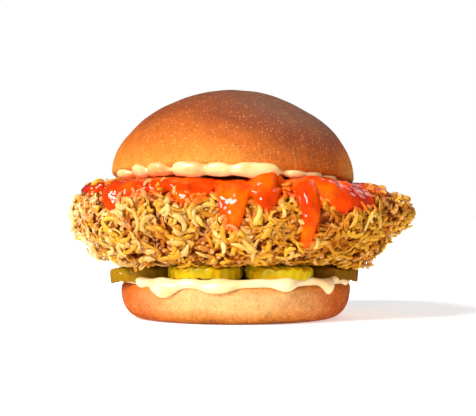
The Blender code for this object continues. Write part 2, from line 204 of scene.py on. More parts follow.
def joined_tubes(name: str, places: Array, rings: int, sides: int) -> Piece:
    """Many closed tubes as one mesh, straight from arrays.

    Args:
        name: the piece's name.
        places: for each tube its rings' points in turn, then its first and its last pole.
        rings: how many rings a tube has.
        sides: how many points a ring has.

    Returns:
        The new object.
    """
    count, each = places.shape[:2]
    ring, side = np.meshgrid(np.arange(rings - 1), np.arange(sides), indexing="ij")
    this, following = ring * sides, (ring + 1) * sides
    beside = (side + 1) % sides
    quads = np.stack([this + side, this + beside, following + beside, following + side], axis=-1)
    around = np.arange(sides)
    after = (around + 1) % sides
    last = (rings - 1) * sides
    first_cap = np.stack([np.full(sides, rings * sides), after, around], axis=-1)
    last_cap = np.stack([np.full(sides, rings * sides + 1), last + around, last + after], axis=-1)
    offsets = np.arange(count)[:, None, None] * each
    quads = (quads.reshape(-1, 4)[None] + offsets).reshape(-1, 4)
    caps = (np.concatenate([first_cap, last_cap])[None] + offsets).reshape(-1, 3)
    mesh = bpy.data.meshes.new(name)
    mesh.vertices.add(count * each)
    mesh.vertices.foreach_set("co", places.astype(np.float32).ravel())
    corners = np.concatenate([quads.ravel(), caps.ravel()])
    mesh.loops.add(len(corners))
    mesh.loops.foreach_set("vertex_index", corners.astype(np.int32))
    starts = np.concatenate([np.arange(len(quads)) * 4, len(quads) * 4 + np.arange(len(caps)) * 3])
    mesh.polygons.add(len(starts))
    mesh.polygons.foreach_set("loop_start", starts.astype(np.int32))
    mesh.update(calc_edges=True)
    mesh.validate()
    piece = bpy.data.objects.new(name, mesh)
    bpy.context.scene.collection.objects.link(piece)
    return piece


def rings_then_poles(values: Array) -> Array:
    """Values of tubes, from pole to pole, in the order that joined_tubes takes."""
    rings = values[:, 1:-1].reshape(len(values), -1, values.shape[-1])
    return np.concatenate([rings, values[:, [0, -1], 0]], axis=1)


def closed_shell(name: str, points: Array) -> Piece:
    """A closed skin that follows a computed surface, which no primitive gives.

    Args:
        name: the piece's name.
        points: rows of points from one pole to the other, each row once round.

    Returns:
        The new object, whose faces point outwards.
    """
    beside = np.roll(points, -1, axis=1)
    facing = np.cross(beside[1:] - points[:-1], points[1:] - beside[:-1])
    if np.sum(facing * (points[1:] + points[:-1])) < 0:
        points = points[::-1]
    return joined_tubes(name, rings_then_poles(points[None]), points.shape[0] - 2, points.shape[1])


def relaxed(points: Array, rounds: int) -> Array:
    """Rows of points once round, each eased towards its neighbours.

    Args:
        points: rows of points from one pole to the other.
        rounds: how many times they ease.

    Returns:
        The new points; the poles stay.
    """
    eased = points.copy()
    for _ in range(rounds):
        beside = np.roll(eased, 1, axis=1) + np.roll(eased, -1, axis=1)
        eased[1:-1] = eased[1:-1] / 2 + (eased[:-2] + eased[2:] + beside[1:-1]) / 8
    return eased


def face_outwards(piece: Piece) -> None:
    """Turns every face of a closed piece outwards."""
    only(piece)
    bpy.ops.object.mode_set(mode="EDIT")
    bpy.ops.mesh.select_all(action="SELECT")
    bpy.ops.mesh.normals_make_consistent(inside=False)
    bpy.ops.object.mode_set(mode="OBJECT")


def finish_piece(piece: Piece, material: Material, slot: Slot, node: str) -> None:
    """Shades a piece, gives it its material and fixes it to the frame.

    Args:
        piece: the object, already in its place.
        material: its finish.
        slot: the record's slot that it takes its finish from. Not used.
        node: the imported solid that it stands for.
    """
    piece.data.materials.clear()
    piece.data.materials.append(material)
    piece.data.shade_smooth()
    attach(piece, BODY)
    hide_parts(node)
    log.info("%s: %d faces", piece.name, len(piece.data.polygons))


def add_circle(name: str, radius: float, sides: int, fill: str, height: float = 0.0) -> Piece:
    """A filled circle round the Z axis.

    Args:
        name: the piece's name.
        radius: its radius.
        sides: how many sides it has.
        fill: TRIFAN for a fan of triangles, or NGON for one face.
        height: how high it lies.

    Returns:
        The new object, which is selected and active.
    """
    bpy.ops.object.select_all(action="DESELECT")
    bpy.ops.mesh.primitive_circle_add(
        vertices=sides, radius=radius, fill_type=fill, location=(0, 0, height)
    )
    piece = bpy.context.object
    piece.name = piece.data.name = name
    return piece


def lathe(name: str, profile: Sequence[Span], sides: int) -> Piece:
    """A round solid, drawn up from a circle as by hand: extruded, scaled and closed at both ends.

    Args:
        name: the piece's name.
        profile: (radius, height) from the underside's middle, outwards and up to the top's middle.
            The first and the last radius are those of the rings next to the poles.
        sides: how many sides the circle has.

    Returns:
        The new object.
    """
    radius, height = profile[0]
    piece = add_circle(name, radius, sides, "TRIFAN", height)
    bpy.ops.object.transform_apply(location=True)
    bpy.ops.object.mode_set(mode="EDIT")
    bpy.ops.mesh.select_mode(type="EDGE")
    bpy.ops.mesh.select_all(action="SELECT")
    bpy.ops.mesh.region_to_loop()
    for next_radius, next_height in profile[1:]:
        factor = next_radius / radius
        bpy.ops.mesh.extrude_edges_move(TRANSFORM_OT_translate={"value": (0, 0, next_height - height)})
        bpy.ops.transform.resize(value=(factor, factor, 1), center_override=(0, 0, next_height))
        radius, height = next_radius, next_height
    bpy.ops.mesh.extrude_edges_move(TRANSFORM_OT_translate={"value": (0, 0, 0)})
    bpy.ops.mesh.merge(type="CENTER")
    bpy.ops.object.mode_set(mode="OBJECT")
    face_outwards(piece)
    return piece


# Finishes


def linear(code: str) -> tuple[float, float, float, float]:
    """An sRGB hex value, such as "#FFCC00", as linear red, green, blue and 1."""
    shares = [int(code[start : start + 2], 16) / 255 for start in (1, 3, 5)]
    red, green, blue = (
        share / 12.92 if share <= 0.04045 else ((share + 0.055) / 1.055) ** 2.4 for share in shares
    )
    return red, green, blue, 1.0


SOCKETS = {
    "Mix": (0, 6, 7),
    "TexNoise": ("Vector", "Scale", "Detail", "Roughness"),
    "TexVoronoi": ("Vector", "Scale", "Randomness"),
    "Bump": ("Strength", "Distance", "Height"),
    "Mapping": ("Vector", "Scale"),
}
SETTINGS = {
    "Math": "operation",
    "MapRange": "interpolation_type",
    "Mix": "blend_type",
    "Attribute": "attribute_name",
}
RESULTS = {"ShaderNodeMix": 2, "ShaderNodeAttribute": "Fac"}


def result_of(source: Source) -> Socket:
    """A node's main output, which for a mix is its colour; an output stays as it is."""
    return source if isinstance(source, Socket) else source.outputs[RESULTS.get(source.bl_idname, 0)]


def add_node(
    tree: bpy.types.NodeTree,
    kind: str,
    inputs: Sequence[object] = (),
    setting: str | None = None,
    stops: Stops = (),
) -> bpy.types.Node:
    """Adds a shader node with its settings and links.

    Args:
        tree: the node tree.
        kind: the node's type, without its ShaderNode prefix. A Mix mixes colours.
        inputs: a value, a node or an output for each input in turn; SOCKETS says for which inputs,
            where they aren't simply the first ones.
        setting: the node's operation, interpolation, blend or attribute; see SETTINGS.
        stops: the places and colours of a colour ramp.

    Returns:
        The node.
    """
    node = tree.nodes.new("ShaderNode" + kind)
    if kind == "Mix":
        node.data_type = "RGBA"
    if setting:
        setattr(node, SETTINGS[kind], setting)
    for name, value in zip(SOCKETS.get(kind, range(len(inputs))), inputs):
        if isinstance(value, Source):
            tree.links.new(result_of(value), node.inputs[name])
        else:
            node.inputs[name].default_value = value
    elements = node.color_ramp.elements if stops else None
    for index, (place, code) in enumerate(stops):
        element = elements[index] if index < 2 else elements.new(place)
        element.position, element.color = place, linear(code)
    return node


def frequency(millimetres: float) -> float:
    """The scale of a texture on Object coordinates whose features are so many millimetres apart."""
    return 1 / (millimetres * MM)


@dataclass(frozen=True)
class Finish:
    """What every finish here has: a name and the constants of its shader."""

    name: str
    ior: float
    roughness: float
    subsurface: float = 0.0
    subsurface_depth: float = 1 * MM
    subsurface_reach: Vector3 = (1.0, 0.5, 0.2)
    mirror: float = 0.3

    def material(self) -> Material:
        """The finish as a material.

        Returns:
            A new material, whose colour and relief paint() has laid on.
        """
        made = bpy.data.materials.new(self.name)
        made.use_nodes = True
        tree = made.node_tree
        shader = tree.nodes["Principled BSDF"]
        constants = {
            "IOR": self.ior,
            "Roughness": self.roughness,
            "Specular IOR Level": self.mirror,
            "Subsurface Weight": self.subsurface,
            "Subsurface Scale": self.subsurface_depth,
            "Subsurface Radius": self.subsurface_reach,
        }
        for name, value in constants.items():
            shader.inputs[name].default_value = value
        add = partial(add_node, tree)
        painted = self.paint(add, add("TexCoord").outputs["Object"])
        for name, source in zip(("Base Color", "Normal", "Roughness"), painted):
            if source is not None:
                tree.links.new(result_of(source), shader.inputs[name])
        return made

    def paint(self, add: Adder, place: Socket) -> Painted:
        """Lays on the colour, the relief and the gloss.

        Args:
            add: adds a node to the material; see add_node.
            place: the Object coordinates.

        Returns:
            What the shader's colour, normal and roughness come from, or None for each that is even.
        """
        raise NotImplementedError


@dataclass(frozen=True)
class BreadCrust(Finish):
    """Egg-washed milk bread, baked browner towards the top; painted shade and sheen on its right, partly
    real bake.
    """

    low: float = 0.0
    high: float = 1.0
    browning: Stops = ()
    # Darkens the right side: painted shade, partly a browner bake.
    right_darkens: float = 0.0
    patch_colour: str = "#CC5A06"
    patch_strength: float = 0.0
    speck_colour: str = "#FFCE86"
    grain: float = 1.1
    streak_depth: float = 0.9
    streak_stretch: float = 0.16

    def paint(self, add: Adder, place: Socket) -> Painted:
        """Lays on the browning from low to high, painted shade and sheen on the right, pale specks and a
        fine leathery grain.
        """
        axes = add("SeparateXYZ", (place,))
        drift = add("TexNoise", (place, frequency(26), 3))
        height = add("MapRange", (axes.outputs["Z"], self.low, self.high, 0.0, 1.0))
        sideways = add("MapRange", (axes.outputs["X"], -50 * MM, 50 * MM, -1.0, 1.0))
        # Painted shade: darker towards the right, partly a browner bake. Painted sheen: lighter again at
        # the far right edge, partly a paler bake.
        oven_side = add("MapRange", (axes.outputs["X"], -22 * MM, 40 * MM, -0.2, 1.0), "SMOOTHSTEP")
        far_edge = add("MapRange", (axes.outputs["X"], 38 * MM, 51 * MM, 1.0, -0.3), "SMOOTHSTEP")
        baked_side = add("Math", (oven_side, far_edge), "MULTIPLY")
        side_share = add("Math", (baked_side, self.right_darkens, height), "MULTIPLY_ADD")
        uneven = add("Math", (drift, 0.34, side_share), "MULTIPLY_ADD")
        shifted = add("Math", (uneven, 0.17), "SUBTRACT")
        browned = add("ValToRGB", (shifted,), stops=self.browning)
        patches = add("TexNoise", (place, frequency(17), 2))
        outer = add("Math", (sideways,), "ABSOLUTE")
        patch_share = add("Math", (outer, 2.2, patches), "MULTIPLY_ADD")
        patch_mask = add("MapRange", (patch_share, 1.3, 2.3, 0.0, self.patch_strength))
        patched = add("Mix", (patch_mask, browned, linear(self.patch_colour)))
        cells = add("TexVoronoi", (place, frequency(1.15), 1.0))
        dot = add("MapRange", (cells.outputs["Distance"], 0.34, 0.1, 0.0, 1.0))
        chosen = add("MapRange", (cells.outputs["Color"], 0.3, 1.0, 0.0, 0.95))
        speck = add("Math", (dot, chosen), "MULTIPLY")
        specked = add("Mix", (speck, patched, linear(self.speck_colour)))
        fine = add("TexNoise", (place, frequency(self.grain), 5, 0.7))
        mottled = add("MapRange", (fine, 0.32, 0.68, 0.76, 1.2))
        drawn_out = add("Mapping", (place, (1.0, 1.0, self.streak_stretch)))
        streaks = add("TexNoise", (drawn_out, frequency(1.7), 3))
        streak_depth = add("MapRange", (height, 0.1, 0.55, self.streak_depth, 0.0))
        streaked = add(
            "Math", (add("Math", (streaks, 0.5), "SUBTRACT"), streak_depth, mottled), "MULTIPLY_ADD"
        )
        blotches = add("TexNoise", (place, frequency(5), 2))
        blotched = add("MapRange", (blotches, 0.3, 0.7, 0.88, 1.1))
        shading = add("Math", (streaked, blotched), "MULTIPLY")
        colour = add("Mix", (1.0, specked, shading), "MULTIPLY")
        relief = add("Math", (speck, 0.4, fine), "MULTIPLY_ADD")
        bump = add("Bump", (1.0, 0.8 * MM, relief))
        gloss = add("MapRange", (fine, 0.3, 0.7, self.roughness - 0.06, self.roughness + 0.1))
        return colour, bump, gloss


@dataclass(frozen=True)
class GarlicCream(Finish):
    """Thick egg-based cream sauce: smooth, wet and slightly see-through, so its shadows stay warm."""

    colour: str = "#FEE0AE"
    hollow: str = "#F4CC88"

    def paint(self, add: Adder, place: Socket) -> Painted:
        """Lays on a faint drift of colour and the soft ripples of a spread sauce."""
        drift = add("TexNoise", (place, frequency(9), 2))
        colour = add("ValToRGB", (drift,), stops=((0.3, self.hollow), (0.55, self.colour)))
        ripples = add("TexNoise", (place, frequency(4), 1))
        bump = add("Bump", (0.35, 0.8 * MM, ripples))
        return colour, bump, None


@dataclass(frozen=True)
class ChilliGlaze(Finish):
    """Sticky chilli glaze: a mirror-wet orange-red syrup with ground pepper in it."""

    thick: str = "#E04000"
    thin: str = "#F86200"
    # The deepest red is painted shade.
    darkest: str = "#B82200"
    pepper: str = "#8A1800"

    def paint(self, add: Adder, place: Socket) -> Painted:
        """Lays on drifts from orange to a deep red that is painted shade, darker towards both ends, fine
        pepper and the ripples that break its shine.
        """
        drift = add("TexNoise", (place, frequency(11), 2))
        axes = add("SeparateXYZ", (place,))
        # Darker and redder towards both ends.
        outward = add("Math", (axes.outputs["X"],), "ABSOLUTE")
        ends = add("MapRange", (outward, 34 * MM, 56 * MM, 0.0, 0.3))
        deepened = add("Math", (drift, ends), "SUBTRACT")
        # Noise patches that reach the deepest red are painted shade.
        body = add(
            "ValToRGB", (deepened,), stops=((0.2, self.darkest), (0.42, self.thick), (0.58, self.thin))
        )
        cells = add("TexVoronoi", (place, frequency(2.1)))
        dot = add("MapRange", (cells.outputs["Distance"], 0.12, 0.05, 0.0, 0.7))
        chosen = add("MapRange", (cells.outputs["Color"], 0.5, 0.6, 0.0, 1.0))
        flecks = add("Math", (dot, chosen), "MULTIPLY")
        colour = add("Mix", (flecks, body, linear(self.pepper)))
        ripples = add("TexNoise", (place, frequency(3.2), 1.5))
        bump = add("Bump", (0.7, 1.3 * MM, ripples))
        return colour, bump, None


@dataclass(frozen=True)
class FriedBatter(Finish):
    """Deep-fried batter, gold and oily on its shreds; darker and orange where it stands out less, as
    painted shade in its crevices, and pale on its shreds' tips, partly as painted highlight.
    """

    depths: Stops = ()
    pale: str = "#FDE6A0"
    brown: str = "#B4660E"
    stain: str = "#E8560A"
    # Darkens the colour in bands across the fillet, from left to right.
    bake: Stops = (
        (0.0, "#FFFFFF"), (0.14, "#DEC4A8"), (0.36, "#ECDAC4"), (0.55, "#F2E4D2"), (0.8, "#E6D2BC"),
        (0.97, "#FFFFFF"),
    )

    def paint(self, add: Adder, place: Socket) -> Painted:
        """Lays on the colour by how far a point stands out, which paints shade in the crevices and
        highlight on the tips, and by each shred's tone.
        """
        lift = add("Attribute", setting="lift")
        tone = add("Attribute", setting="tone")
        # Darker and more orange the less a point stands out: painted shade in the crevices.
        blotch = add("TexNoise", (place, frequency(1.8), 3))
        share = add("Math", (blotch, 0.3, lift), "MULTIPLY_ADD")
        level = add("Math", (share, 0.15), "SUBTRACT")
        baked = add("ValToRGB", (level,), stops=self.depths)
        # Pale shreds pale towards their tips: partly a paler bake, partly painted highlight.
        paleness = add("MapRange", (tone, 0.55, 1.0, 0.0, 0.85))
        paler = add("Math", (paleness, lift), "MULTIPLY")
        lighter = add("Mix", (paler, baked, linear(self.pale)))
        # Low tone browns a crag: its own bake, and towards the right painted shade.
        browning = add("MapRange", (tone, 0.3, 0.0, 0.0, 0.6))
        colour = add("Mix", (browning, lighter, linear(self.brown)))
        # Darker in two bands across the fillet, deepest at about x = -42 mm and x = 44 mm, and not at
        # the ends.
        across = add("SeparateXYZ", (place,))
        way = add("MapRange", (across.outputs["X"], -60 * MM, 70 * MM, 0.0, 1.0))
        crisper = add("ValToRGB", (way,), stops=self.bake)
        colour = add("Mix", (1.0, colour, crisper), "MULTIPLY")
        sauced = add("Attribute", setting="sauced")
        stained = add("Mix", (sauced, colour, linear(self.stain)))
        crisp = add("TexNoise", (place, frequency(0.7), 3))
        bump = add("Bump", (0.6, 0.35 * MM, crisp))
        return stained, bump, None


@dataclass(frozen=True)
class GherkinFlesh(Finish):
    """Pickled gherkin: wet, glassy yellow flesh inside a dark green skin."""

    flesh: str = "#FFD000"
    core: str = "#FFEC20"
    skin: str = "#744204"

    def paint(self, add: Adder, place: Socket) -> Painted:
        """Lays on the flesh, the skin at the rim, drifts of both, and painted shade in the skin's colour
        over whole slices.
        """
        rim = add("Attribute", setting="rim")
        shade = add("Attribute", setting="shade")
        drift = add("TexNoise", (place, frequency(5), 3))
        flesh = add("ValToRGB", (drift,), stops=((0.35, self.flesh), (0.65, self.core)))
        ragged = add("Math", (drift, 0.12, rim), "MULTIPLY_ADD")
        skin_share = add("MapRange", (ragged, 0.96, 1.07, 0.0, 0.45))
        skinned = add("Mix", (skin_share, flesh, linear(self.skin)))
        # Painted shade: a whole slice darkened towards the skin's colour.
        colour = add("Mix", (shade, skinned, linear(self.skin)))
        fine = add("TexNoise", (place, frequency(1.2), 3))
        bump = add("Bump", (0.4, 0.4 * MM, fine))
        return colour, bump, None


@dataclass(frozen=True)
class PaintedCove(Finish):
    """The studio's floor: matt white paint."""

    def paint(self, add: Adder, place: Socket) -> Painted:
        """Lays on white with a trace of unevenness."""
        drift = add("TexNoise", (place, frequency(90)))
        colour = add("ValToRGB", (drift,), stops=((0.3, "#FBFBFB"), (0.7, "#FFFFFF")))
        return colour, None, None


CROWN_CRUST = BreadCrust(
    name="baked_milk_bread_crown", ior=1.45, mirror=0.14, roughness=0.42, subsurface=0.08,
    # right_darkens paints shade over the crown's right side, and sheen at its far right edge.
    low=57 * MM, high=96 * MM, right_darkens=0.36,
    browning=(
        (0.0, "#F4AE44"), (0.2, "#E28424"), (0.42, "#CE6412"), (0.68, "#9C4618"), (1.0, "#8A4C2C"),
    ),
)
HEEL_CRUST = BreadCrust(
    name="baked_milk_bread_heel", ior=1.45, mirror=0.1, roughness=0.5, subsurface=0.1,
    low=0.0, high=15 * MM, patch_strength=0.95, grain=1.2,
    browning=(
        # The darkest stop, at the base, is partly a browner bake and partly painted shade.
        (0.0, "#9C4E10"), (0.16, "#D07E2C"), (0.42, "#EEB26C"), (0.8, "#F0B470"), (1.0, "#DA9040"),
    ),
)
CREAM = GarlicCream(
    name="garlic_cream", ior=1.42, roughness=0.2, subsurface=0.35, subsurface_depth=2 * MM,
    subsurface_reach=(1.0, 0.75, 0.4),
)
# A darker, warmer copy of the cream: painted shade for the cream under the crown.
WARM_CREAM = GarlicCream(
    name="garlic_cream_on_hot_glaze", ior=1.42, roughness=0.22, subsurface=0.3, subsurface_depth=2 * MM,
    subsurface_reach=(1.0, 0.7, 0.3), colour="#FBD292", hollow="#EDAA62",
)
GLAZE = ChilliGlaze(
    name="chilli_glaze", ior=1.45, roughness=0.1, subsurface=0.1, subsurface_depth=2.0 * MM,
    subsurface_reach=(1.0, 0.25, 0.02), mirror=0.34,
)
BATTER = FriedBatter(
    name="deep_fried_batter_shreds", ior=1.46, mirror=0.16, roughness=0.34, subsurface=0.15,
    subsurface_depth=1.2 * MM, subsurface_reach=(1.0, 0.6, 0.15),
    depths=((0.0, "#6E3204"), (0.2, "#A05008"), (0.42, "#C87610"), (0.68, "#E29A1C"), (1.0, "#F2BE38")),
)
BATTER_BEADS = FriedBatter(
    name="deep_fried_batter_beads", ior=1.46, mirror=0.2, roughness=0.32, subsurface=0.15,
    subsurface_depth=1.2 * MM, subsurface_reach=(1.0, 0.6, 0.2), pale="#FEDCAC",
    depths=((0.0, "#7C3A06"), (0.22, "#B06212"), (0.46, "#D68A2C"), (0.72, "#E6A24A"), (1.0, "#F2C27C")),
)
GHERKIN = GherkinFlesh(
    name="pickled_gherkin", ior=1.38, roughness=0.2, subsurface=0.4, subsurface_depth=2.5 * MM,
    subsurface_reach=(1.0, 0.8, 0.15),
)
COVE = PaintedCove(name="white_cove", ior=1.45, roughness=0.9, mirror=0.0)


# The bun


def profile_of(surface: Surface, phase: float, places: Sequence[float]) -> list[Span]:
    """A bun half's outline, at places along its surface.

    Args:
        surface: the half's surface.
        phase: which way its outline wobbles, which is taken out again.
        places: the places along the surface.

    Returns:
        The radius and the height at each place.
    """
    points = [surface(np.array(0.0), np.array(along)) for along in places]
    wobble = float(bun_wobble(np.array(0.0), phase))
    return [(math.hypot(point[0], point[1]) / wobble, float(point[2])) for point in points]


@dataclass
class BunHeel:
    """The bottom half of the bun: a low round with a flat base and a flat cut face."""

    radius: float = 48.9 * MM
    height: float = 15.5 * MM
    base_radius: float = 39.5 * MM
    widest: float = 12.0 * MM
    shoulder: float = 2.6 * MM
    roundness: float = 2.1
    phase: float = -0.8

    def surface(self, azimuth: Array, along: Array) -> Array:
        """Points of the heel.

        Args:
            azimuth: the way round.
            along: 0 in the middle of the cut face, 1 and 2 at the shoulder's two ends, 3 at the
                base's edge.

        Returns:
            The points.
        """
        face_radius = self.radius - self.shoulder
        side_top = self.height - self.shoulder
        turn = (np.clip(along, 1, 2) - 1) * math.pi / 2
        down = side_top * (1 - np.sin((np.clip(along, 2, 3) - 2) * math.pi / 2))
        drop = np.clip(1 - down / self.widest, 0, 1)
        bulge = (1 - drop**self.roundness) ** (1 / self.roundness)
        side_radius = self.base_radius + (self.radius - self.base_radius) * bulge
        radius = np.where(
            along <= 1,
            face_radius * along,
            np.where(along <= 2, face_radius + self.shoulder * np.sin(turn), side_radius),
        )
        height = np.where(along <= 2, side_top + self.shoulder * np.cos(turn), down)
        return polar(radius * bun_wobble(azimuth, self.phase), azimuth, height)

    def build(self) -> None:
        """Models and dresses the heel."""
        base = [(self.base_radius * share, 0.0) for share in (0.3, 0.7, 0.93, 0.985)]
        places = (2.96, 2.9, 2.82, 2.72, 2.6, 2.46, 2.3, 2.12, 2.0, 1.75, 1.5, 1.25, 1.0, 0.8, 0.4)
        heel = lathe("heel_crust", base + profile_of(self.surface, self.phase, places), 120)
        apply_modifier(heel, "SUBSURF", levels=1, render_levels=1)
        uneven_loaf(heel, self.phase, 0.35 * MM, keep_below=0.6 * MM)
        finish_piece(heel, HEEL_CRUST.material(), Slot.CRUST, "bun_heel")


@dataclass
class BunCrown:
    """The top half of the bun: a dome on a rolled rim, which leans back and down to the right."""

    radius: float = 51.0 * MM
    dome: float = 36.1 * MM
    roundness: float = 1.86
    rim_width: float = 3.0 * MM
    rim_height: float = 2.6 * MM
    seat: Vector3 = (-1.2 * MM, 0.0, 57.6 * MM)
    lean_back: float = math.radians(5.2)
    lean_right: float = math.radians(1.9)
    phase: float = 2.1

    @property
    def place(self) -> Matrix:
        """How the crown lies on the burger."""
        return (
            Matrix.Translation(self.seat)
            @ Matrix.Rotation(self.lean_right, 4, "Y")
            @ Matrix.Rotation(-self.lean_back, 4, "X")
        )

    def upright(self, azimuth: Array, along: Array) -> Array:
        """Points of the crown before it leans.

        Args:
            azimuth: the way round.
            along: 0 in the middle of the cut face, 1 at the rim's inner edge, 2 at the widest, 3 on top.

        Returns:
            The points.
        """
        face_radius = self.radius - self.rim_width
        turn = (np.clip(along, 1, 2) - 1) * math.pi / 2
        across, up = squared_circle((np.clip(along, 2, 3) - 2) * math.pi / 2, self.roundness)
        radius = np.where(
            along <= 1,
            face_radius * along,
            np.where(along <= 2, face_radius + self.rim_width * np.sin(turn), self.radius * across),
        )
        height = np.where(
            along <= 2, self.rim_height * (1 - np.cos(turn)), self.rim_height + self.dome * up
        )
        return polar(radius * bun_wobble(azimuth, self.phase), azimuth, height)

    def surface(self, azimuth: Array, along: Array) -> Array:
        """Points of the crown in its place; see upright."""
        matrix = np.array(self.place)
        return self.upright(azimuth, along) @ matrix[:3, :3].T + matrix[:3, 3]

    def underside(self, x: Array, y: Array) -> Array:
        """How high the crown's cut face is over a place on the floor."""
        matrix = np.array(self.place)
        point, up = matrix[:3, 3], matrix[:3, 2]
        return point[2] - (up[0] * (x - point[0]) + up[1] * (y - point[1])) / up[2]

    def build(self) -> None:
        """Models and dresses the crown."""
        rim = [1 + step / 7 for step in range(7)]
        places = (0.3, 0.7, 0.96, *rim, *(2 + step / 22 for step in range(22)))
        crown = lathe("crown_crust", profile_of(self.upright, self.phase, places), 128)
        apply_modifier(crown, "SUBSURF", levels=1, render_levels=1)
        uneven_loaf(crown, self.phase, 0.55 * MM)
        crown.data.transform(self.place)
        finish_piece(crown, CROWN_CRUST.material(), Slot.CRUST, "bun_crown")


def uneven_loaf(piece: Piece, phase: float, depth: float, keep_below: float = -1.0) -> None:
    """Makes a turned loaf as uneven as hand-shaped dough.

    Args:
        piece: the loaf, upright on the origin.
        phase: which way its outline wobbles.
        depth: how deep its dents are.
        keep_below: the height under which the base stays flat.
    """
    places = coordinates(piece)
    azimuth = np.arctan2(places[:, 1], places[:, 0])
    wobble = bun_wobble(azimuth, phase)
    places[:, :2] *= wobble[:, None]
    broad = soft_noise(places, 21 * MM, (phase, 1.7, 0.4))
    dents = broad + 0.4 * soft_noise(places, 8 * MM, (phase, 5.1, 2.2))
    outward = np.empty(len(places) * 3)
    piece.data.vertices.foreach_get("normal", outward)
    moving = smooth_step(keep_below, keep_below + 3 * MM, places[:, 2])
    places += outward.reshape(-1, 3) * (dents * depth * moving)[:, None]
    move_vertices(piece, places)


# The sauces


@dataclass(frozen=True)
class Run:
    """A run or drip of sauce, or with a negative reach a bare bay in its edge."""

    across: float
    back: float
    half_width: float
    reach: float

    def away(self, azimuth: Array) -> Array:
        """How far an azimuth is from the run's middle, in half widths."""
        middle = math.atan2(self.back, self.across)
        half_angle = self.half_width / math.hypot(self.across, self.back)
        return np.abs(np.mod(azimuth - middle + math.pi, TURN) - math.pi) / half_angle

    def share(self, azimuth: Array) -> Array:
        """How much of the run's reach there is at an azimuth: 1 along its middle, 0 beside it."""
        bluntness = 2.3 + 0.55 * abs(self.reach) / self.half_width
        return np.exp(-self.away(azimuth) ** bluntness)

    def lobe(self, azimuth: Array) -> Array:
        """The same for a blob with a round outline, which ends at its half width."""
        return np.sqrt(np.maximum(0.0, 1 - self.away(azimuth) ** 2.4))


def runs(*rows: tuple[float, float, float, float]) -> tuple[Run, ...]:
    """Runs of sauce from rows of millimetres: across, back, half width and reach."""
    return tuple(Run(*(value * MM for value in row)) for row in rows)


def reach_of(drips: Sequence[Run], azimuth: Array) -> Array:
    """How far all the runs together reach at each azimuth."""
    return sum(run.share(azimuth) * run.reach for run in drips)


def lobes_of(drips: Sequence[Run], azimuth: Array) -> Array:
    """How far the farthest run reaches at each azimuth, where runs meet in creases."""
    return np.max([run.lobe(azimuth) * run.reach for run in drips], axis=0)


def rounded_edge(share: Array, start: float) -> Array:
    """1 up to start, then falling to 0 as a quarter circle does."""
    past = np.clip((share - start) / (1 - start), 0, 1)
    return np.sqrt(np.maximum(0.0, 1 - past * past))


def coat_points(
    columns: int,
    share: Array,
    surface: Surface,
    along_of: Callable[[Array, Array], Array],
    thickness_of: Callable[[Array, Array, Array], Array],
    gap: float,
    outward: int,
) -> Array:
    """The skin of a sauce that lies on something: over it, round the edge and back beneath.

    Args:
        columns: how many points go round.
        share: the places from the sauce's middle, 0, to its edge, 1.
        surface: what the sauce lies on.
        along_of: the place along the surface for an azimuth and a share.
        thickness_of: how thick the sauce is, from the azimuth, the share and the place in space.
        gap: how far its underside stands off.
        outward: 1 or -1, whichever turns the surface's normal away from it.

    Returns:
        Rows of points from the pole of the upper skin to that of the lower.
    """
    azimuth = np.arange(columns)[None, :] * TURN / columns + np.zeros((len(share), 1))
    shares = share[:, None] + np.zeros((1, columns))
    along = along_of(azimuth, shares)
    base = surface(azimuth, along)
    off_pole = np.maximum(np.abs(along), 5e-3) * np.sign(along + 1e-9)
    normal = normals_of(surface, azimuth, off_pole) * outward
    normal[0] = normal[1].mean(axis=0)
    base[0] = base[1].mean(axis=0)
    thick = thickness_of(azimuth, shares, base)
    thick[0] = thick[1].mean()
    lower = base + normal * gap
    upper = base + normal * (gap + thick[..., None])
    return relaxed(np.concatenate([upper, lower[-2::-1]]), 3)


def spread(share: Array, knee: float, first: float, inner: float, edge: Array) -> Array:
    """The place along a surface for each share of a sauce, evenly on both sides of a knee.

    Args:
        share: from 0 in the sauce's middle to 1 at its edge.
        knee: the share that lies at inner.
        first: the place in the middle.
        inner: the place that the burger still covers.
        edge: the place of the edge.

    Returns:
        The places.
    """
    inside = first + (inner - first) * share / knee
    outside = inner + (edge - inner) * (share - knee) / (1 - knee)
    return np.where(share < knee, inside, outside)


CREAM_KNEE = 0.4
CREAM_SHARES = np.concatenate([np.linspace(0, CREAM_KNEE, 5), np.linspace(0.43, 1, 26)])
CREAM_COLUMNS = 300


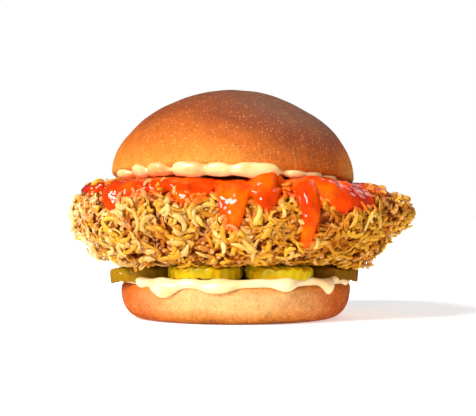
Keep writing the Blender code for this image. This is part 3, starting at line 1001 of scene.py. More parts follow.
@dataclass
class LowerCream:
    """Cream between the heel and the pickles, which runs over the heel's edge."""

    heel: BunHeel
    gap: float = 0.15 * MM
    side: float = 25 * MM
    slab: float = 1.5 * MM
    bead: float = 2.7 * MM
    drips: tuple[Run, ...] = runs(
        (-37.5, -30.0, 3.2, 1.4), (-28.2, -39.0, 6.0, 5.6), (-7.5, -48.0, 6.6, 2.4),
        (19.7, -45.0, 4.8, 2.4), (36.8, -32.0, 3.1, 5.2), (45.5, -17.0, 1.8, 1.4),
        (47.0, 14.0, 4.5, 2.5), (24.0, 42.0, 6.0, 4.5), (-12.0, 47.0, 7.0, 2.6),
        (-40.0, 28.0, 5.0, 5.0),
    )

    def edge(self, azimuth: Array) -> Array:
        """How far along the heel's surface the cream comes."""
        shoulder = self.heel.shoulder * math.pi / 2
        reach = shoulder * (0.45 + 0.12 * np.sin(3 * azimuth + 1.0)) + reach_of(self.drips, azimuth)
        return 1 + np.minimum(1.0, reach / shoulder) + np.maximum(0.0, reach - shoulder) / self.side

    def along(self, azimuth: Array, share: Array) -> Array:
        """The place on the heel: the first shares are inside the burger, the others on its edge."""
        return spread(share, CREAM_KNEE, 0.0, 0.96, self.edge(azimuth))

    def thickness(self, azimuth: Array, share: Array, place: Array) -> Array:
        """How thick the cream is: a slab inside, and a fat bead at the edge and in the runs."""
        fat = sum(run.share(azimuth) for run in self.drips)
        bead = self.bead + 0.8 * MM * np.minimum(1.0, fat)
        bead = bead * (1 + 0.35 * soft_noise(place, 8 * MM, (2.0, 0.3, 7.0)))
        rise = smooth_step(0.3, 0.6, share)
        return (self.slab * (1 - rise) + bead * rise) * rounded_edge(share, 0.62)

    def build(self) -> None:
        """Models and dresses the lower cream."""
        layer = self.heel.surface, self.along, self.thickness
        points = coat_points(CREAM_COLUMNS, CREAM_SHARES, *layer, self.gap, -1)
        cream = closed_shell("cream_under_pickles", points)
        finish_piece(cream, CREAM.material(), Slot.CREAM, "cream_lower")


@dataclass
class UpperCream:
    """Cream under the crown, squeezed out in blobs along its rim."""

    crown: BunCrown
    gap: float = 0.15 * MM
    slab: float = 1.4 * MM
    drips: tuple[Run, ...] = runs(
        (-46.0, -21.0, 6.0, 2.0), (-38.5, -33.0, 4.4, 3.0), (-30.6, -40.0, 5.2, 3.5),
        (-17.6, -46.0, 7.8, 3.5), (-6.0, -49.0, 6.0, 2.8), (9.0, -48.8, 10.6, 3.2),
        (25.0, -43.0, 5.0, 1.3), (33.0, -38.0, 5.0, 1.6), (41.0, -30.0, 5.0, 1.3),
        (44.0, 26.0, 6.0, 1.8), (16.0, 48.0, 8.5, 2.8), (-10.0, 50.0, 6.5, 1.6),
        (-38.0, 34.0, 8.0, 2.4),
    )

    def along(self, azimuth: Array, share: Array) -> Array:
        """The place on the crown's underside and rim."""
        rim = self.crown.rim_width * 1.2
        reach = rim * (0.1 + 0.05 * np.sin(4 * azimuth + 0.4)) + lobes_of(self.drips, azimuth)
        return spread(share, CREAM_KNEE, 0.0, 0.92, 1 + np.minimum(0.94, reach / rim))

    def thickness(self, azimuth: Array, share: Array, place: Array) -> Array:
        """How thick the cream is: thin inside the burger, fat where it was squeezed out."""
        fat = lobes_of(self.drips, azimuth)
        bead = 1.0 * MM + 0.95 * np.minimum(fat, 2.8 * MM)
        bead = bead * (1 + 0.25 * soft_noise(place, 6 * MM, (4.0, 1.3, 3.0)))
        rise = smooth_step(0.28, 0.55, share)
        return (self.slab * (1 - rise) + bead * rise) * rounded_edge(share, 0.6)

    def build(self) -> None:
        """Models and dresses the upper cream."""
        layer = self.crown.surface, self.along, self.thickness
        points = coat_points(CREAM_COLUMNS, CREAM_SHARES, *layer, self.gap, 1)
        cream = closed_shell("cream_under_crown", points)
        # The cream under the crown is painted darker and warmer, as shade.
        finish_piece(cream, WARM_CREAM.material(), Slot.CREAM, "cream_upper")


# The fillet and its coat


@dataclass
class FilletForm:
    """The fillet's own shape: a thick oval that is blunt on the left and tapers to the right."""

    crown: BunCrown
    right: float = 70.5 * MM
    left: float = 67.0 * MM
    front: float = 54.0 * MM
    back: float = 52.5 * MM
    outline: float = 2.25
    fullness_top: float = 3.7
    fullness_bottom: float = 4.4
    slimmer_top: float = 1.3
    slimmer_bottom: float = 0.4
    recess_all: float = 0.03
    recess_ends: float = 0.078
    recess_right: float = 0.012
    middle: float = 41.5 * MM
    rises_right: float = 2.0 * MM
    sinks_back: float = 1.2 * MM
    bottom: float = 24.9 * MM
    below_crown: float = 4.9 * MM
    tip_rise: float = 4.6 * MM
    tip_from: float = 44.0 * MM
    tip_to: float = 58.0 * MM
    even_inside: float = 35.0 * MM
    lumpy_outside: float = 52.0 * MM
    lump_size: float = 17 * MM
    lump_depth: float = 2.0 * MM
    share_power: float = 1.7

    def reach(self, azimuth: Array) -> Array:
        """The fillet's outline seen from above."""
        across, back = np.cos(azimuth), np.sin(azimuth)
        reach_x = np.where(across > 0, self.right, self.left)
        reach_y = np.where(back > 0, self.back, self.front)
        squared = (np.abs(across) / reach_x) ** self.outline + (np.abs(back) / reach_y) ** self.outline
        waves = 1 + 0.018 * np.sin(5 * azimuth + 0.6) + 0.012 * np.sin(8 * azimuth + 2.0)
        return waves * squared ** (-1 / self.outline)

    def surface(self, azimuth: Array, share: Array) -> Array:
        """Points of the fillet.

        Args:
            azimuth: the way round.
            share: of the way up: 1 on top, 0 round the widest and -1 beneath. Its power spreads the
                shares evenly over the steep sides.

        Returns:
            The points.
        """
        right, back = np.cos(azimuth), np.sin(azimuth)
        slimmer = np.where(share > 0, self.slimmer_top, self.slimmer_bottom)
        fullness = np.where(share > 0, self.fullness_top, self.fullness_bottom)
        level = np.sign(share) * np.arcsin(np.minimum(1.0, np.abs(share)) ** self.share_power)
        across, up = squared_circle(level, fullness - slimmer * right)
        across = np.maximum(0.0, across)
        recess = self.recess_ends * right**2 + self.recess_right * right * np.abs(right)
        recess = (self.recess_all + recess) * smooth_step(0.05, 0.5, -up)
        radius = self.reach(azimuth) * across * (1 - recess)
        place = polar(radius, azimuth, np.zeros_like(radius))
        middle = self.middle + self.rises_right * right - self.sinks_back * back
        top = self.crown.underside(place[..., 0], place[..., 1]) - self.below_crown
        top = top + self.tip_rise * smooth_step(self.tip_from, self.tip_to, place[..., 0])
        place[..., 2] = middle + up * np.where(share > 0, top - middle, middle - self.bottom)
        bare = smooth_step(self.even_inside, self.lumpy_outside, radius)
        lump = soft_noise(place, self.lump_size, (3.1, 0.0, 5.7)) * self.lump_depth * bare
        return place + lump[..., None] * np.stack([right * across, back * across, up], axis=-1)

    def share_at(self, azimuth: Array, height: Array) -> Array:
        """The share of the way up at which the surface passes a height, found by halving."""
        low = np.full(azimuth.shape, -0.99)
        high = np.full(azimuth.shape, 0.99)
        for _ in range(20):
            middle = (low + high) / 2
            below = self.surface(azimuth, middle)[..., 2] < height
            low, high = np.where(below, middle, low), np.where(below, high, middle)
        return (low + high) / 2


@dataclass
class HotGlaze:
    """The chilli glaze: it covers the fillet's top, heaps up in mounds and runs down in drips."""

    fillet: FilletForm
    mounds: tuple[Run, ...] = runs(
        (14.0, -52.5, 8.0, 4.6), (-15.0, -52.0, 9.0, 1.0), (-46.0, -34.0, 7.0, 1.2),
        (20.0, 50.0, 9.0, 2.0),
    )
    gap: float = 0.3 * MM
    slab: float = 2.6 * MM
    bead: float = 3.4 * MM
    pooled: float = 2.0 * MM
    thinner_left: float = 1.5 * MM
    thinnest: float = 0.5 * MM
    sheet: float = 50.6 * MM
    sheet_rises: float = 1.2 * MM
    sheet_waves: float = 0.6 * MM
    lower_back: float = 3.4 * MM
    knee: float = 0.45
    inner: float = 0.82
    columns: int = 480
    drips: tuple[Run, ...] = runs(
        (-43.1, -39.0, 5.0, 6.4), (-17.0, -52.5, 6.4, 3.0), (-1.4, -55.0, 5.2, 14.2),
        (11.7, -54.0, 4.8, 5.4), (28.0, -50.0, 3.4, 20.0), (35.6, -45.0, 4.6, 5.0),
        (42.6, -39.0, 8.0, 6.0), (63.0, 16.0, 4.5, 2.5), (38.0, 42.0, 5.0, 6.0),
        (12.0, 52.0, 4.0, 12.0), (-14.0, 51.0, 5.4, 5.5), (-40.0, 40.0, 4.4, 10.0),
        (-63.0, 14.0, 4.6, 3.0),
    )
    bays: tuple[Run, ...] = runs(
        (-57.3, -26.0, 2.6, 1.6), (-51.0, -33.0, 2.0, -2.2), (-34.0, -47.0, 3.4, -1.8),
        (-26.0, -50.0, 1.8, -2.4), (-21.0, -52.0, 2.0, 1.2), (-17.2, -52.5, 1.2, -1.4),
        (-12.8, -53.5, 2.0, 1.4), (-9.0, -54.5, 1.3, -1.8), (6.4, -54.5, 1.3, -1.6),
        (19.8, -52.5, 2.8, -1.0), (47.4, -35.0, 2.2, 1.6), (60.0, -22.0, 6.0, 1.6),
        (20.0, 50.0, 3.0, -1.8), (-26.0, 48.0, 3.0, -1.6), (50.0, 33.0, 3.0, -1.4),
    )

    def edge_height(self, azimuth: Array) -> Array:
        """How low the glaze comes at an azimuth."""
        side = np.abs(np.cos(azimuth))
        sheet = self.sheet + self.sheet_rises * side**4 + self.sheet_waves * np.sin(7 * azimuth + 1.2)
        sheet = sheet - self.lower_back * np.maximum(0.0, np.sin(azimuth))
        return sheet - reach_of(self.drips, azimuth) - reach_of(self.bays, azimuth)

    def thickness(self, azimuth: Array, share: Array, place: Array) -> Array:
        """How thick the glaze is: lumpy over the batter, fat in its drips and heaped in mounds."""
        drip = np.minimum(1.0, sum(run.share(azimuth) for run in self.drips))
        bead = self.bead * (0.72 + 0.28 * drip)
        rise = smooth_step(0.25, 0.6, share)
        lumps = soft_noise(place, 6 * MM, (1.0, 8.3, 3.3))
        knobs = 1 - 2.4 * np.abs(soft_noise(place, 4.6 * MM, (6.0, 2.3, 1.3)))
        creases = soft_noise(place * np.array([1.0, 1.0, 0.45]), 2.4 * MM, (3.3, 1.9, 7.1))
        drawn = 1.3 * MM * lumps + 0.9 * MM * knobs * (1 - 0.4 * drip) + 0.5 * MM * creases
        shoulder = smooth_step(0.2, 0.4, share) * (1 - smooth_step(0.5, 0.7, share))
        across = np.cos(azimuth)
        heaped = self.pooled * smooth_step(0.1, 0.7, across) + lobes_of(self.mounds, azimuth)
        heaped = heaped - self.thinner_left * smooth_step(0.3, 0.75, -across)
        body = self.slab * (1 - rise) + (bead + drawn) * rise + heaped * shoulder
        return np.maximum(self.thinnest, body) * rounded_edge(share, 0.84)

    def build(self) -> None:
        """Models and dresses the glaze."""
        azimuths = np.arange(self.columns) * TURN / self.columns
        edges = self.fillet.share_at(azimuths, self.edge_height(azimuths))

        def along(azimuth: Array, share: Array) -> Array:
            """The place on the fillet: fixed on top, then down to the glaze's edge."""
            return spread(share, self.knee, 1.0, self.inner, edges[None, :])

        share = np.concatenate([np.linspace(0, self.knee, 18), np.linspace(0.47, 1, 46)])
        layer = self.fillet.surface, along, self.thickness
        points = coat_points(self.columns, share, *layer, self.gap, 1)
        glaze = closed_shell("chilli_glaze", points)
        finish_piece(glaze, GLAZE.material(), Slot.GLAZE, "hot_sauce")


class CragKind(Enum):
    """The forms that loose batter takes in hot oil."""

    RIBBON = "batter_ribbons"
    HOOK = "batter_hooks"
    CURL = "batter_curls"
    BEAD = "batter_beads"
    CRUMB = "batter_crumbs"


ROUND_CRAGS = (CragKind.BEAD, CragKind.CRUMB)


@dataclass(frozen=True)
class CragSpec:
    """How one kind of crag is shaped and spread; lengths in metres, angles in radians."""

    kind: CragKind
    count: int
    seed: int
    rings: int
    sides: int
    length: Span
    girth: Span
    bend: Span
    height: Span
    tilt: Span
    flatness: Span = (0.7, 1.0)
    blunt: float = 3.0
    lumpiness: float = 0.2


CRAGS = (
    CragSpec(CragKind.RIBBON, 1000, 11, 12, 8, (7 * MM, 12.0 * MM), (0.8 * MM, 1.35 * MM), (0.8, 3.6),
             (1.8 * MM, 3.6 * MM), (-0.3, 0.9), flatness=(0.4, 0.75), blunt=2.0, lumpiness=0.12),
    CragSpec(CragKind.HOOK, 1450, 15, 9, 7, (4.5 * MM, 8.0 * MM), (0.7 * MM, 1.2 * MM), (1.6, 4.2),
             (1.1 * MM, 3.2 * MM), (-0.5, 1.2), flatness=(0.5, 0.95), blunt=2.4, lumpiness=0.12),
    CragSpec(CragKind.CURL, 1200, 12, 7, 6, (3.0 * MM, 6.0 * MM), (0.55 * MM, 1.0 * MM), (1.0, 4.4),
             (0.3 * MM, 2.2 * MM), (-0.8, 1.4)),
    CragSpec(CragKind.BEAD, 2400, 13, 5, 8, (1.7 * MM, 3.2 * MM), (0.85 * MM, 1.5 * MM), (0.0, 0.6),
             (0.0 * MM, 2.0 * MM), (-0.4, 0.4), blunt=2.0, lumpiness=0.14),
    CragSpec(CragKind.CRUMB, 1500, 14, 4, 6, (0.9 * MM, 2.0 * MM), (0.35 * MM, 0.7 * MM), (0.0, 1.2),
             (0.4 * MM, 3.0 * MM), (-1.2, 1.2), blunt=2.0),
)


def bare_ends(across: Array, left_from: float, left_to: float) -> Array:
    """How far out on one of the fillet's two ends a place is, which carry little or no glaze."""
    return smooth_step(left_from, left_to, -across) + smooth_step(57 * MM, 64 * MM, across)


@dataclass
class CoatedFillet:
    """The fillet: a knobbly core under thousands of shreds, curls, beads and crumbs of batter."""

    form: FilletForm
    glaze: HotGlaze
    relief: float = 1.1 * MM
    reach: float = 3.4 * MM
    under_glaze: float = 2.6 * MM
    pickle_top: float = 22.6 * MM
    pickles_reach: float = 48.0 * MM
    lowest_crag: float = 20.5 * MM
    crosses_edge: float = 2.5 * MM
    ends_lower: float = 1.4 * MM
    even_inside: float = 30.0 * MM
    knobbly_outside: float = 46.0 * MM
    # Lowers the crags' tone towards the right, browning them as painted shade.
    right_bake: float = 0.28
    stray_share: float = 0.07
    stray_band: float = 4.0 * MM
    stray_from: float = 51.0 * MM
    stray_lift: float = 1.2 * MM
    drip_kept_clean: float = 1.2 * MM
    hanging: float = 6.0 * MM
    hangs_at: float = math.radians(-21)
    hangs_over: float = math.radians(13)
    core_rows: int = 110
    core_columns: int = 300
    knob_size: float = 3.1 * MM
    knob_offset: Vector3 = (9.0, 4.1, 0.2)

    def build_core(self, material: Material) -> None:
        """Models and dresses the core in the batter that it is given."""
        columns, rows = self.core_columns, self.core_rows
        azimuth = np.arange(columns)[None, :] * TURN / columns + np.zeros((rows + 1, 1))
        share = 1 - 2 * np.arange(rows + 1)[:, None] / rows + np.zeros((1, columns))
        points = self.form.surface(azimuth, share)
        normal = normals_of(self.form.surface, azimuth, np.clip(share, -0.997, 0.997))
        knobs = soft_noise(points, self.knob_size, self.knob_offset)
        knobs = knobs + 0.5 * soft_noise(points, 1.4 * MM, (2.0, 6.1, 4.2))
        radius = np.hypot(points[..., 0], points[..., 1])
        bare = smooth_step(self.even_inside, self.knobbly_outside, radius)
        points = points + normal * (knobs * self.relief * bare)[..., None]
        points[0], points[-1] = points[0].mean(axis=0), points[-1].mean(axis=0)
        core = closed_shell("fillet_core", points)
        places = coordinates(core)
        # The core's low lift paints it dark, as shade under the crags.
        store(core, "lift", 0.16 + 0.16 * soft_noise(places, self.knob_size, self.knob_offset))
        store(core, "tone", np.full(len(places), 0.4))
        store(core, "sauced", self.sauced(places))
        finish_piece(core, material, Slot.BATTER, "chicken_fillet")

    def sauced(self, places: Array) -> Array:
        """How much glaze has soaked in: 1 above the glaze's edge, 0 far below it and at the ends."""
        azimuth = np.arctan2(places[..., 1], places[..., 0])
        above = places[..., 2] - self.glaze.edge_height(azimuth)
        patchy = 1.6 * MM * soft_noise(places, 5 * MM, (3.0, 8.1, 6.2))
        ends = bare_ends(places[..., 0], 50 * MM, 57 * MM)
        return smooth_step(-1.2 * MM, 1.4 * MM, above + patchy) * (1 - ends)

    def batter_top(self, azimuth: Array, normal: Array) -> Array:
        """How high crags may stand on the fillet, a little way up under the glaze's edge."""
        steepness = np.hypot(normal[..., 0], normal[..., 1])
        return self.glaze.edge_height(azimuth) + self.under_glaze * steepness

    def off_drips(self, azimuth: Array) -> Array:
        """Whether an azimuth is clear of the glaze's drips."""
        return reach_of(self.glaze.drips, azimuth) < self.drip_kept_clean

    def spots(self, spec: CragSpec) -> tuple[Array, Array]:
        """Where one kind's crags stand: spread evenly over the bare batter by its area.

        Args:
            spec: the kind.

        Returns:
            The azimuths and the shares of the way up.
        """
        azimuth_edges = np.linspace(0, TURN, 181)
        share_edges = np.linspace(-0.97, 0.95, 86)
        azimuths, shares = np.meshgrid(azimuth_edges, share_edges)
        corners = self.form.surface(azimuths, shares)
        azimuths, shares, cell = azimuths[:-1, :-1], shares[:-1, :-1], corners[:-1, :-1]
        side = np.linalg.norm(corners[:-1, 1:] - cell, axis=-1)
        rise = np.linalg.norm(corners[1:, :-1] - cell, axis=-1)
        limit = self.batter_top(azimuths, normals_of(self.form.surface, azimuths, shares))
        ends = smooth_step(44 * MM, 62 * MM, np.abs(cell[..., 0]))
        low = smooth_step(-40 * MM, -29 * MM, -cell[..., 2])
        if spec.kind in ROUND_CRAGS:
            favour = (1 + 1.8 * ends) * (1 + low)
        else:
            favour = (1 - 0.8 * ends) * (1 - 0.4 * low)
        bare = cell[..., 2] < limit
        outer = np.hypot(cell[..., 0], cell[..., 1]) > self.stray_from
        band = outer & (cell[..., 2] < limit + self.stray_band) & self.off_drips(azimuths)
        area = side * rise * favour * np.where(bare, 1.0, self.stray_share * band)
        total = np.cumsum(area.ravel())
        draws = (np.arange(spec.count) * GOLDEN_SHARE + spec.seed * 0.37) % 1
        cells = np.minimum(np.searchsorted(total, draws * total[-1]), area.size - 1)
        row, column = np.unravel_index(cells, area.shape)
        draw = np.random.default_rng(spec.seed)
        azimuth = azimuth_edges[column] + draw.random(spec.count) * (azimuth_edges[1] - azimuth_edges[0])
        return azimuth, share_edges[row] + draw.random(spec.count) * (share_edges[1] - share_edges[0])

    def crags(self, spec: CragSpec) -> tuple[Array, Array, Array, Array]:
        """The points of one kind's crags.

        Args:
            spec: the kind.

        Returns:
            The points of each crag, from its first pole along its rings to its last pole, with how
            far each stands out of the coat, how pale each crag is, and which break through the glaze.
        """
        draw = np.random.default_rng(spec.seed + 100)
        azimuth, share = self.spots(spec)
        base = self.form.surface(azimuth, share)
        normal = normals_of(self.form.surface, azimuth, share)
        count = spec.count

        def between(limits: Span) -> Array:
            """Draws one value for each crag."""
            return draw.uniform(limits[0], limits[1], (count, 1))

        spin = draw.uniform(0, TURN, (count, 1))
        level_way = np.cross(normal, np.array([0.0, 0.0, 1.0]))
        level_way /= np.maximum(np.linalg.norm(level_way, axis=-1, keepdims=True), 1e-9)
        up_way = np.cross(normal, level_way)
        tangent = level_way * np.cos(spin) + up_way * np.sin(spin)
        sideways = np.cross(normal, tangent)
        tilt = between(spec.tilt)
        bow = sideways * np.cos(tilt) + normal * np.sin(tilt)
        binormal = np.cross(tangent, bow)

        along = np.linspace(-1, 1, spec.rings + 2)
        length, girth, flatness = between(spec.length), between(spec.girth), between(spec.flatness)
        bend = between(spec.bend) * np.where(draw.random((count, 1)) < 0.5, -1, 1)
        twist = draw.uniform(-0.9, 0.9, (count, 1))
        heading = bend * along / 2 + twist * (along**2 - 1 / 3)
        step = length / (spec.rings + 1)
        forward = np.cumsum(np.cos(heading), axis=1) * step
        bowed = np.cumsum(np.sin(heading), axis=1) * step
        forward -= forward.mean(axis=1, keepdims=True)
        bowed -= bowed.mean(axis=1, keepdims=True)
        wave = girth * draw.uniform(-0.9, 0.9, (count, 1)) * np.sin(along * 2.4)

        clump = smooth_step(-0.45, 0.4, soft_noise(base, 8 * MM, (5.0, 0.7, 2.9)))
        stray = (base[:, 2] > self.batter_top(azimuth, normal)) & self.off_drips(azimuth)
        lift = between(spec.height) * (0.35 + 0.95 * clump)[:, None] + self.stray_lift * stray[:, None]
        tangent, bow, binormal = (way[:, None, :] for way in (tangent, bow, binormal))
        centre = (base + normal * lift)[:, None, :]
        for distance, way in ((forward, tangent), (bowed, bow), (wave, binormal)):
            centre = centre + distance[..., None] * way
        heading_way = np.cos(heading)[..., None] * bow - np.sin(heading)[..., None] * tangent
        profile = np.sqrt(np.maximum(0.0, 1 - np.abs(along) ** spec.blunt))
        lumpy = 1 + spec.lumpiness * draw.standard_normal((count, len(along)))
        ring_girth = girth * profile * np.clip(lumpy, 0.6, 1.4)
        angle = np.arange(spec.sides) * TURN / spec.sides
        rough = 1 + 0.05 * draw.standard_normal((count, len(along), spec.sides))
        out = ring_girth[..., None] * rough
        points = (
            centre[:, :, None, :]
            + (out * np.cos(angle))[..., None] * heading_way[:, :, None, :]
            + (out * np.sin(angle) * flatness[..., None])[..., None] * binormal[:, None]
        )
        stands = np.einsum("irsk,ik->irs", points - base[:, None, None, :], normal) / self.reach
        # Each crag's tone is random, lowered towards the right as painted shade.
        tone = np.clip(draw.random(count) - self.right_bake * base[:, 0] / self.form.right, 0, 1)
        turned = np.mod(azimuth - self.hangs_at + math.pi, TURN) - math.pi
        lower = np.exp(-((turned / self.hangs_over) ** 2)) * smooth_step(0.25, 0.8, -share)
        points[..., 2] -= (self.hanging * lower * draw.random(count))[:, None, None]
        return points, np.clip(stands, 0.05, 1.0), tone, stray

    def is_clear(self, points: Array, stray: Array) -> Array:
        """Which crags keep off the pickles and, but for the strays, out of the glaze's top."""
        lowest = points[..., 2].min(axis=(1, 2))
        radius = np.hypot(points[..., 0], points[..., 1]).mean(axis=(1, 2))
        across = points[..., 0].mean(axis=(1, 2))
        azimuth = np.arctan2(points[..., 1].mean(axis=(1, 2)), across)
        highest = points[..., 2].max(axis=(1, 2))
        over_pickles = (radius > self.pickles_reach) | (lowest > self.pickle_top)
        ends = bare_ends(across, 48 * MM, 55 * MM)
        above = self.under_glaze + self.crosses_edge * (1 - ends) - self.ends_lower * ends
        under = highest < self.glaze.edge_height(azimuth) + above
        return over_pickles & (lowest > self.lowest_crag) & (under | stray)

    def build_crags(self, spec: CragSpec, material: Material) -> None:
        """Models and dresses one kind of crag, joined into one piece.

        Args:
            spec: the kind.
            material: the batter.
        """
        points, stands, tone, stray = self.crags(spec)
        kept = self.is_clear(points, stray)
        points, stands, tone, stray = points[kept], stands[kept], tone[kept], stray[kept]
        places = rings_then_poles(points)
        piece = joined_tubes(spec.kind.value, places, spec.rings, spec.sides)
        # How far each point stands out, which paints low points darker as shade.
        store(piece, "lift", rings_then_poles(stands[..., None]))
        store(piece, "tone", np.repeat(tone, places.shape[1]))
        soaked = self.sauced(places) * np.where(stray, 0.3, 0.75)[:, None]
        store(piece, "sauced", soaked.ravel())
        finish_piece(piece, material, Slot.BATTER, "chicken_fillet")

    def build(self) -> None:
        """Models and dresses the fillet with its whole coat."""
        strands, beads = BATTER.material(), BATTER_BEADS.material()
        self.build_core(strands)
        for spec in CRAGS:
            self.build_crags(spec, beads if spec.kind in ROUND_CRAGS else strands)


# The pickles


@dataclass
class PickleSlice:
    """A gherkin slice cut with a crinkle blade."""

    node: str
    across: float
    back: float
    radius: float
    turn: float
    # How much of the slice is painted darker in the skin's colour, as shade.
    shade: float
    lean: float
    level: float = 21.3 * MM
    thickness: float = 5.2 * MM
    pitch: float = 3.9 * MM
    depth: float = 0.45 * MM
    bevel: float = 0.55 * MM
    warp: float = 1.2 * MM
    arch: float = 1.9 * MM
    droop: float = 1.2 * MM
    droops_from: float = 34.0 * MM
    droops_over: float = 14.0 * MM
    rings: int = 11

    def build(self, material: Material) -> None:
        """Models and dresses the slice in the finish that it is given."""
        piece = add_circle(self.node.replace("pickle", "gherkin_slice"), self.radius, 96, "NGON")
        bpy.ops.object.mode_set(mode="EDIT")
        bpy.ops.mesh.select_all(action="SELECT")
        for _ in range(self.rings):
            bpy.ops.mesh.inset(thickness=self.radius / (self.rings + 1))
        bpy.ops.mesh.poke()
        bpy.ops.object.mode_set(mode="OBJECT")
        thickness = self.thickness - 2 * self.depth
        apply_modifier(piece, "SOLIDIFY", thickness=thickness, offset=0.0, use_even_offset=True)
        corner = math.radians(50)
        apply_modifier(
            piece, "BEVEL", width=self.bevel, segments=3, limit_method="ANGLE", angle_limit=corner
        )
        places = coordinates(piece)
        azimuth = np.arctan2(places[:, 1], places[:, 0])
        rim = np.hypot(places[:, 0], places[:, 1]) / self.radius
        outline = 1 + 0.02 * np.sin(2 * azimuth + self.turn) + 0.012 * np.sin(5 * azimuth + self.turn)
        scallop = np.abs(np.sin(azimuth * round(math.pi * self.radius / self.pitch)))
        places[:, :2] *= (outline + 0.035 * (scallop - 0.6) * rim**4)[:, None]
        phase = places[:, 0] / self.pitch + 0.04 * np.sin(places[:, 1] / (4 * MM))
        places[:, 2] += self.depth * np.sin(TURN * phase)
        places[:, 2] += self.warp * soft_noise(places, 7 * MM, (self.turn, 3.0, 1.0))
        places[:, 2] += self.arch * (0.35 - (places[:, 0] / self.radius) ** 2)
        move_vertices(piece, places)
        out = math.atan2(self.back, self.across)
        piece.data.transform(
            Matrix.Translation((self.across, self.back, self.level))
            @ Matrix.Rotation(out, 4, "Z")
            @ Matrix.Rotation(self.lean, 4, "Y")
            @ Matrix.Rotation(math.radians(90 + self.turn), 4, "Z")
        )
        places = coordinates(piece)
        past = np.hypot(places[:, 0], places[:, 1]) - self.droops_from
        places[:, 2] -= self.droop * (np.maximum(0.0, past) / self.droops_over) ** 2
        move_vertices(piece, places)
        store(piece, "rim", rim)
        store(piece, "shade", np.full(len(rim), self.shade))
        finish_piece(piece, material, Slot.GHERKIN, self.node)


def pickle_slices() -> list[PickleSlice]:
    """The slices, four at the front as the photograph shows them and three at the back.

    Returns:
        The slices.
    """
    # The shade column darkens the slices at the left and right, and the back ones a little, as painted
    # shade.
    rows = (
        ("pickle_1", -38.0, -13.0, 14.6, 8, 0.74, 6.5),
        ("pickle_2", -12.4, -30.4, 14.6, -6, 0.0, 2.0),
        ("pickle_3", 17.4, -30.8, 13.6, 5, 0.0, 3.5),
        ("pickle_4", 37.8, -10.6, 13.4, -12, 0.92, 5.0),
        ("pickle_5", 29.5, 26.0, 13.6, 9, 0.3, 2.0),
        ("pickle_6", 1.0, 33.0, 13.8, -4, 0.2, 2.0),
        ("pickle_7", -27.0, 24.5, 13.4, 12, 0.3, 2.0),
    )
    return [
        PickleSlice(node, across * MM, back * MM, radius * MM, turn, shade, math.radians(lean))
        for node, across, back, radius, turn, shade, lean in rows
    ]


# The studio


@dataclass(frozen=True)
class Sun:
    """A far, soft light: where it hangs, how strong it is and how wide it looks."""

    name: str
    away: Vector3
    energy: float
    degrees: float
    gloss: bool = True
    diffuse: bool = True

    def build(self) -> None:
        """Hangs the light; gloss and diffuse say whether wet and matt surfaces get it."""
        turned = Vector(self.away).to_track_quat("Z", "Y").to_euler()
        bpy.ops.object.light_add(type="SUN", rotation=turned)
        light = bpy.context.object
        light.name = self.name
        light.data.energy, light.data.angle = self.energy, math.radians(self.degrees)
        light.visible_glossy, light.visible_diffuse = self.gloss, self.diffuse


SUNS = (
    Sun("key_light", (-0.92, -0.85, 0.86), 4.0, 19),
    Sun("rim_light", (0.45, 0.75, 0.8), 0.6, 35),
    Sun("front_light", (-0.1, -1.0, 0.12), 0.95, 40, gloss=False),
    Sun("glint_light", (-0.7, -0.9, 0.62), 8.0, 36, diffuse=False),
)


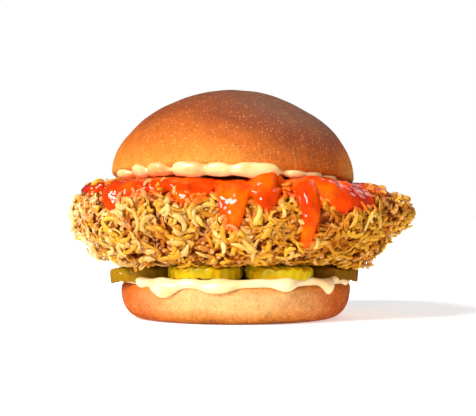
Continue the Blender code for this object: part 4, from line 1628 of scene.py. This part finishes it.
@dataclass
class Studio:
    """A white floor, a key light from the upper left, three softer ones, a white room and the camera."""

    distance: float = 564 * MM
    camera_x: float = 0.85 * MM
    camera_height: float = 46.3 * MM
    focal_pixels: float = 1321.0
    picture_width: float = 476.0
    sensor: float = 36.0
    sees_between: Span = (0.05, 30.0)
    fill_strength: float = 0.2
    gloss_strength: float = 0.12
    floor_radius: float = 4.0
    floor_gap: float = 0.05 * MM
    floor_glow: float = 0.45

    def build_floor(self) -> None:
        """Lays the floor."""
        floor = add_circle("studio_floor", self.floor_radius, 96, "NGON", -self.floor_gap)
        cove = COVE.material()
        shader = cove.node_tree.nodes["Principled BSDF"]
        shader.inputs["Emission Color"].default_value = linear("#FFFFFF")
        shader.inputs["Emission Strength"].default_value = self.floor_glow
        floor.data.materials.append(cove)
        floor.visible_glossy = False

    def build_lights(self) -> None:
        """Hangs the suns and sets the even light of a white room, dimmer for all but the camera."""
        for sun in SUNS:
            sun.build()
        world = bpy.data.worlds.new("white_room")
        bpy.context.scene.world = world
        world.use_nodes = True
        tree = world.node_tree
        rays = add_node(tree, "LightPath").outputs
        levels = (self.fill_strength, self.gloss_strength)
        indirect = add_node(tree, "MapRange", (rays["Is Glossy Ray"], 0.0, 1.0, *levels))
        level = add_node(tree, "MapRange", (rays["Is Camera Ray"], 0.0, 1.0, indirect, 1.0))
        tree.links.new(level.outputs[0], tree.nodes["Background"].inputs["Strength"])
        tree.nodes["Background"].inputs["Color"].default_value = (1, 1, 1, 1)

    def build_camera(self) -> None:
        """Sets up the camera, level and straight on."""
        bpy.ops.object.camera_add(
            location=(self.camera_x, -self.distance, self.camera_height), rotation=(math.pi / 2, 0, 0)
        )
        camera = bpy.context.object
        camera.name = "camera"
        camera.data.sensor_width = self.sensor
        camera.data.lens = self.focal_pixels / self.picture_width * self.sensor
        camera.data.clip_start, camera.data.clip_end = self.sees_between
        bpy.context.scene.camera = camera
        bpy.context.scene.view_settings.view_transform = "Standard"

    def build(self) -> None:
        """Builds the studio."""
        self.build_camera()
        self.build_floor()
        self.build_lights()


def main() -> None:
    """Builds the burger from the heel up, and the studio round it."""
    logging.basicConfig(level=logging.INFO, format="%(message)s")
    bpy.ops.object.select_all(action="DESELECT")
    Studio().build()
    heel = BunHeel()
    crown = BunCrown()
    heel.build()
    LowerCream(heel).build()
    gherkin = GHERKIN.material()
    for pickle in pickle_slices():
        pickle.build(gherkin)
    fillet = FilletForm(crown)
    glaze = HotGlaze(fillet)
    CoatedFillet(fillet, glaze).build()
    glaze.build()
    UpperCream(crown).build()
    crown.build()


if __name__ == "__main__":
    main()
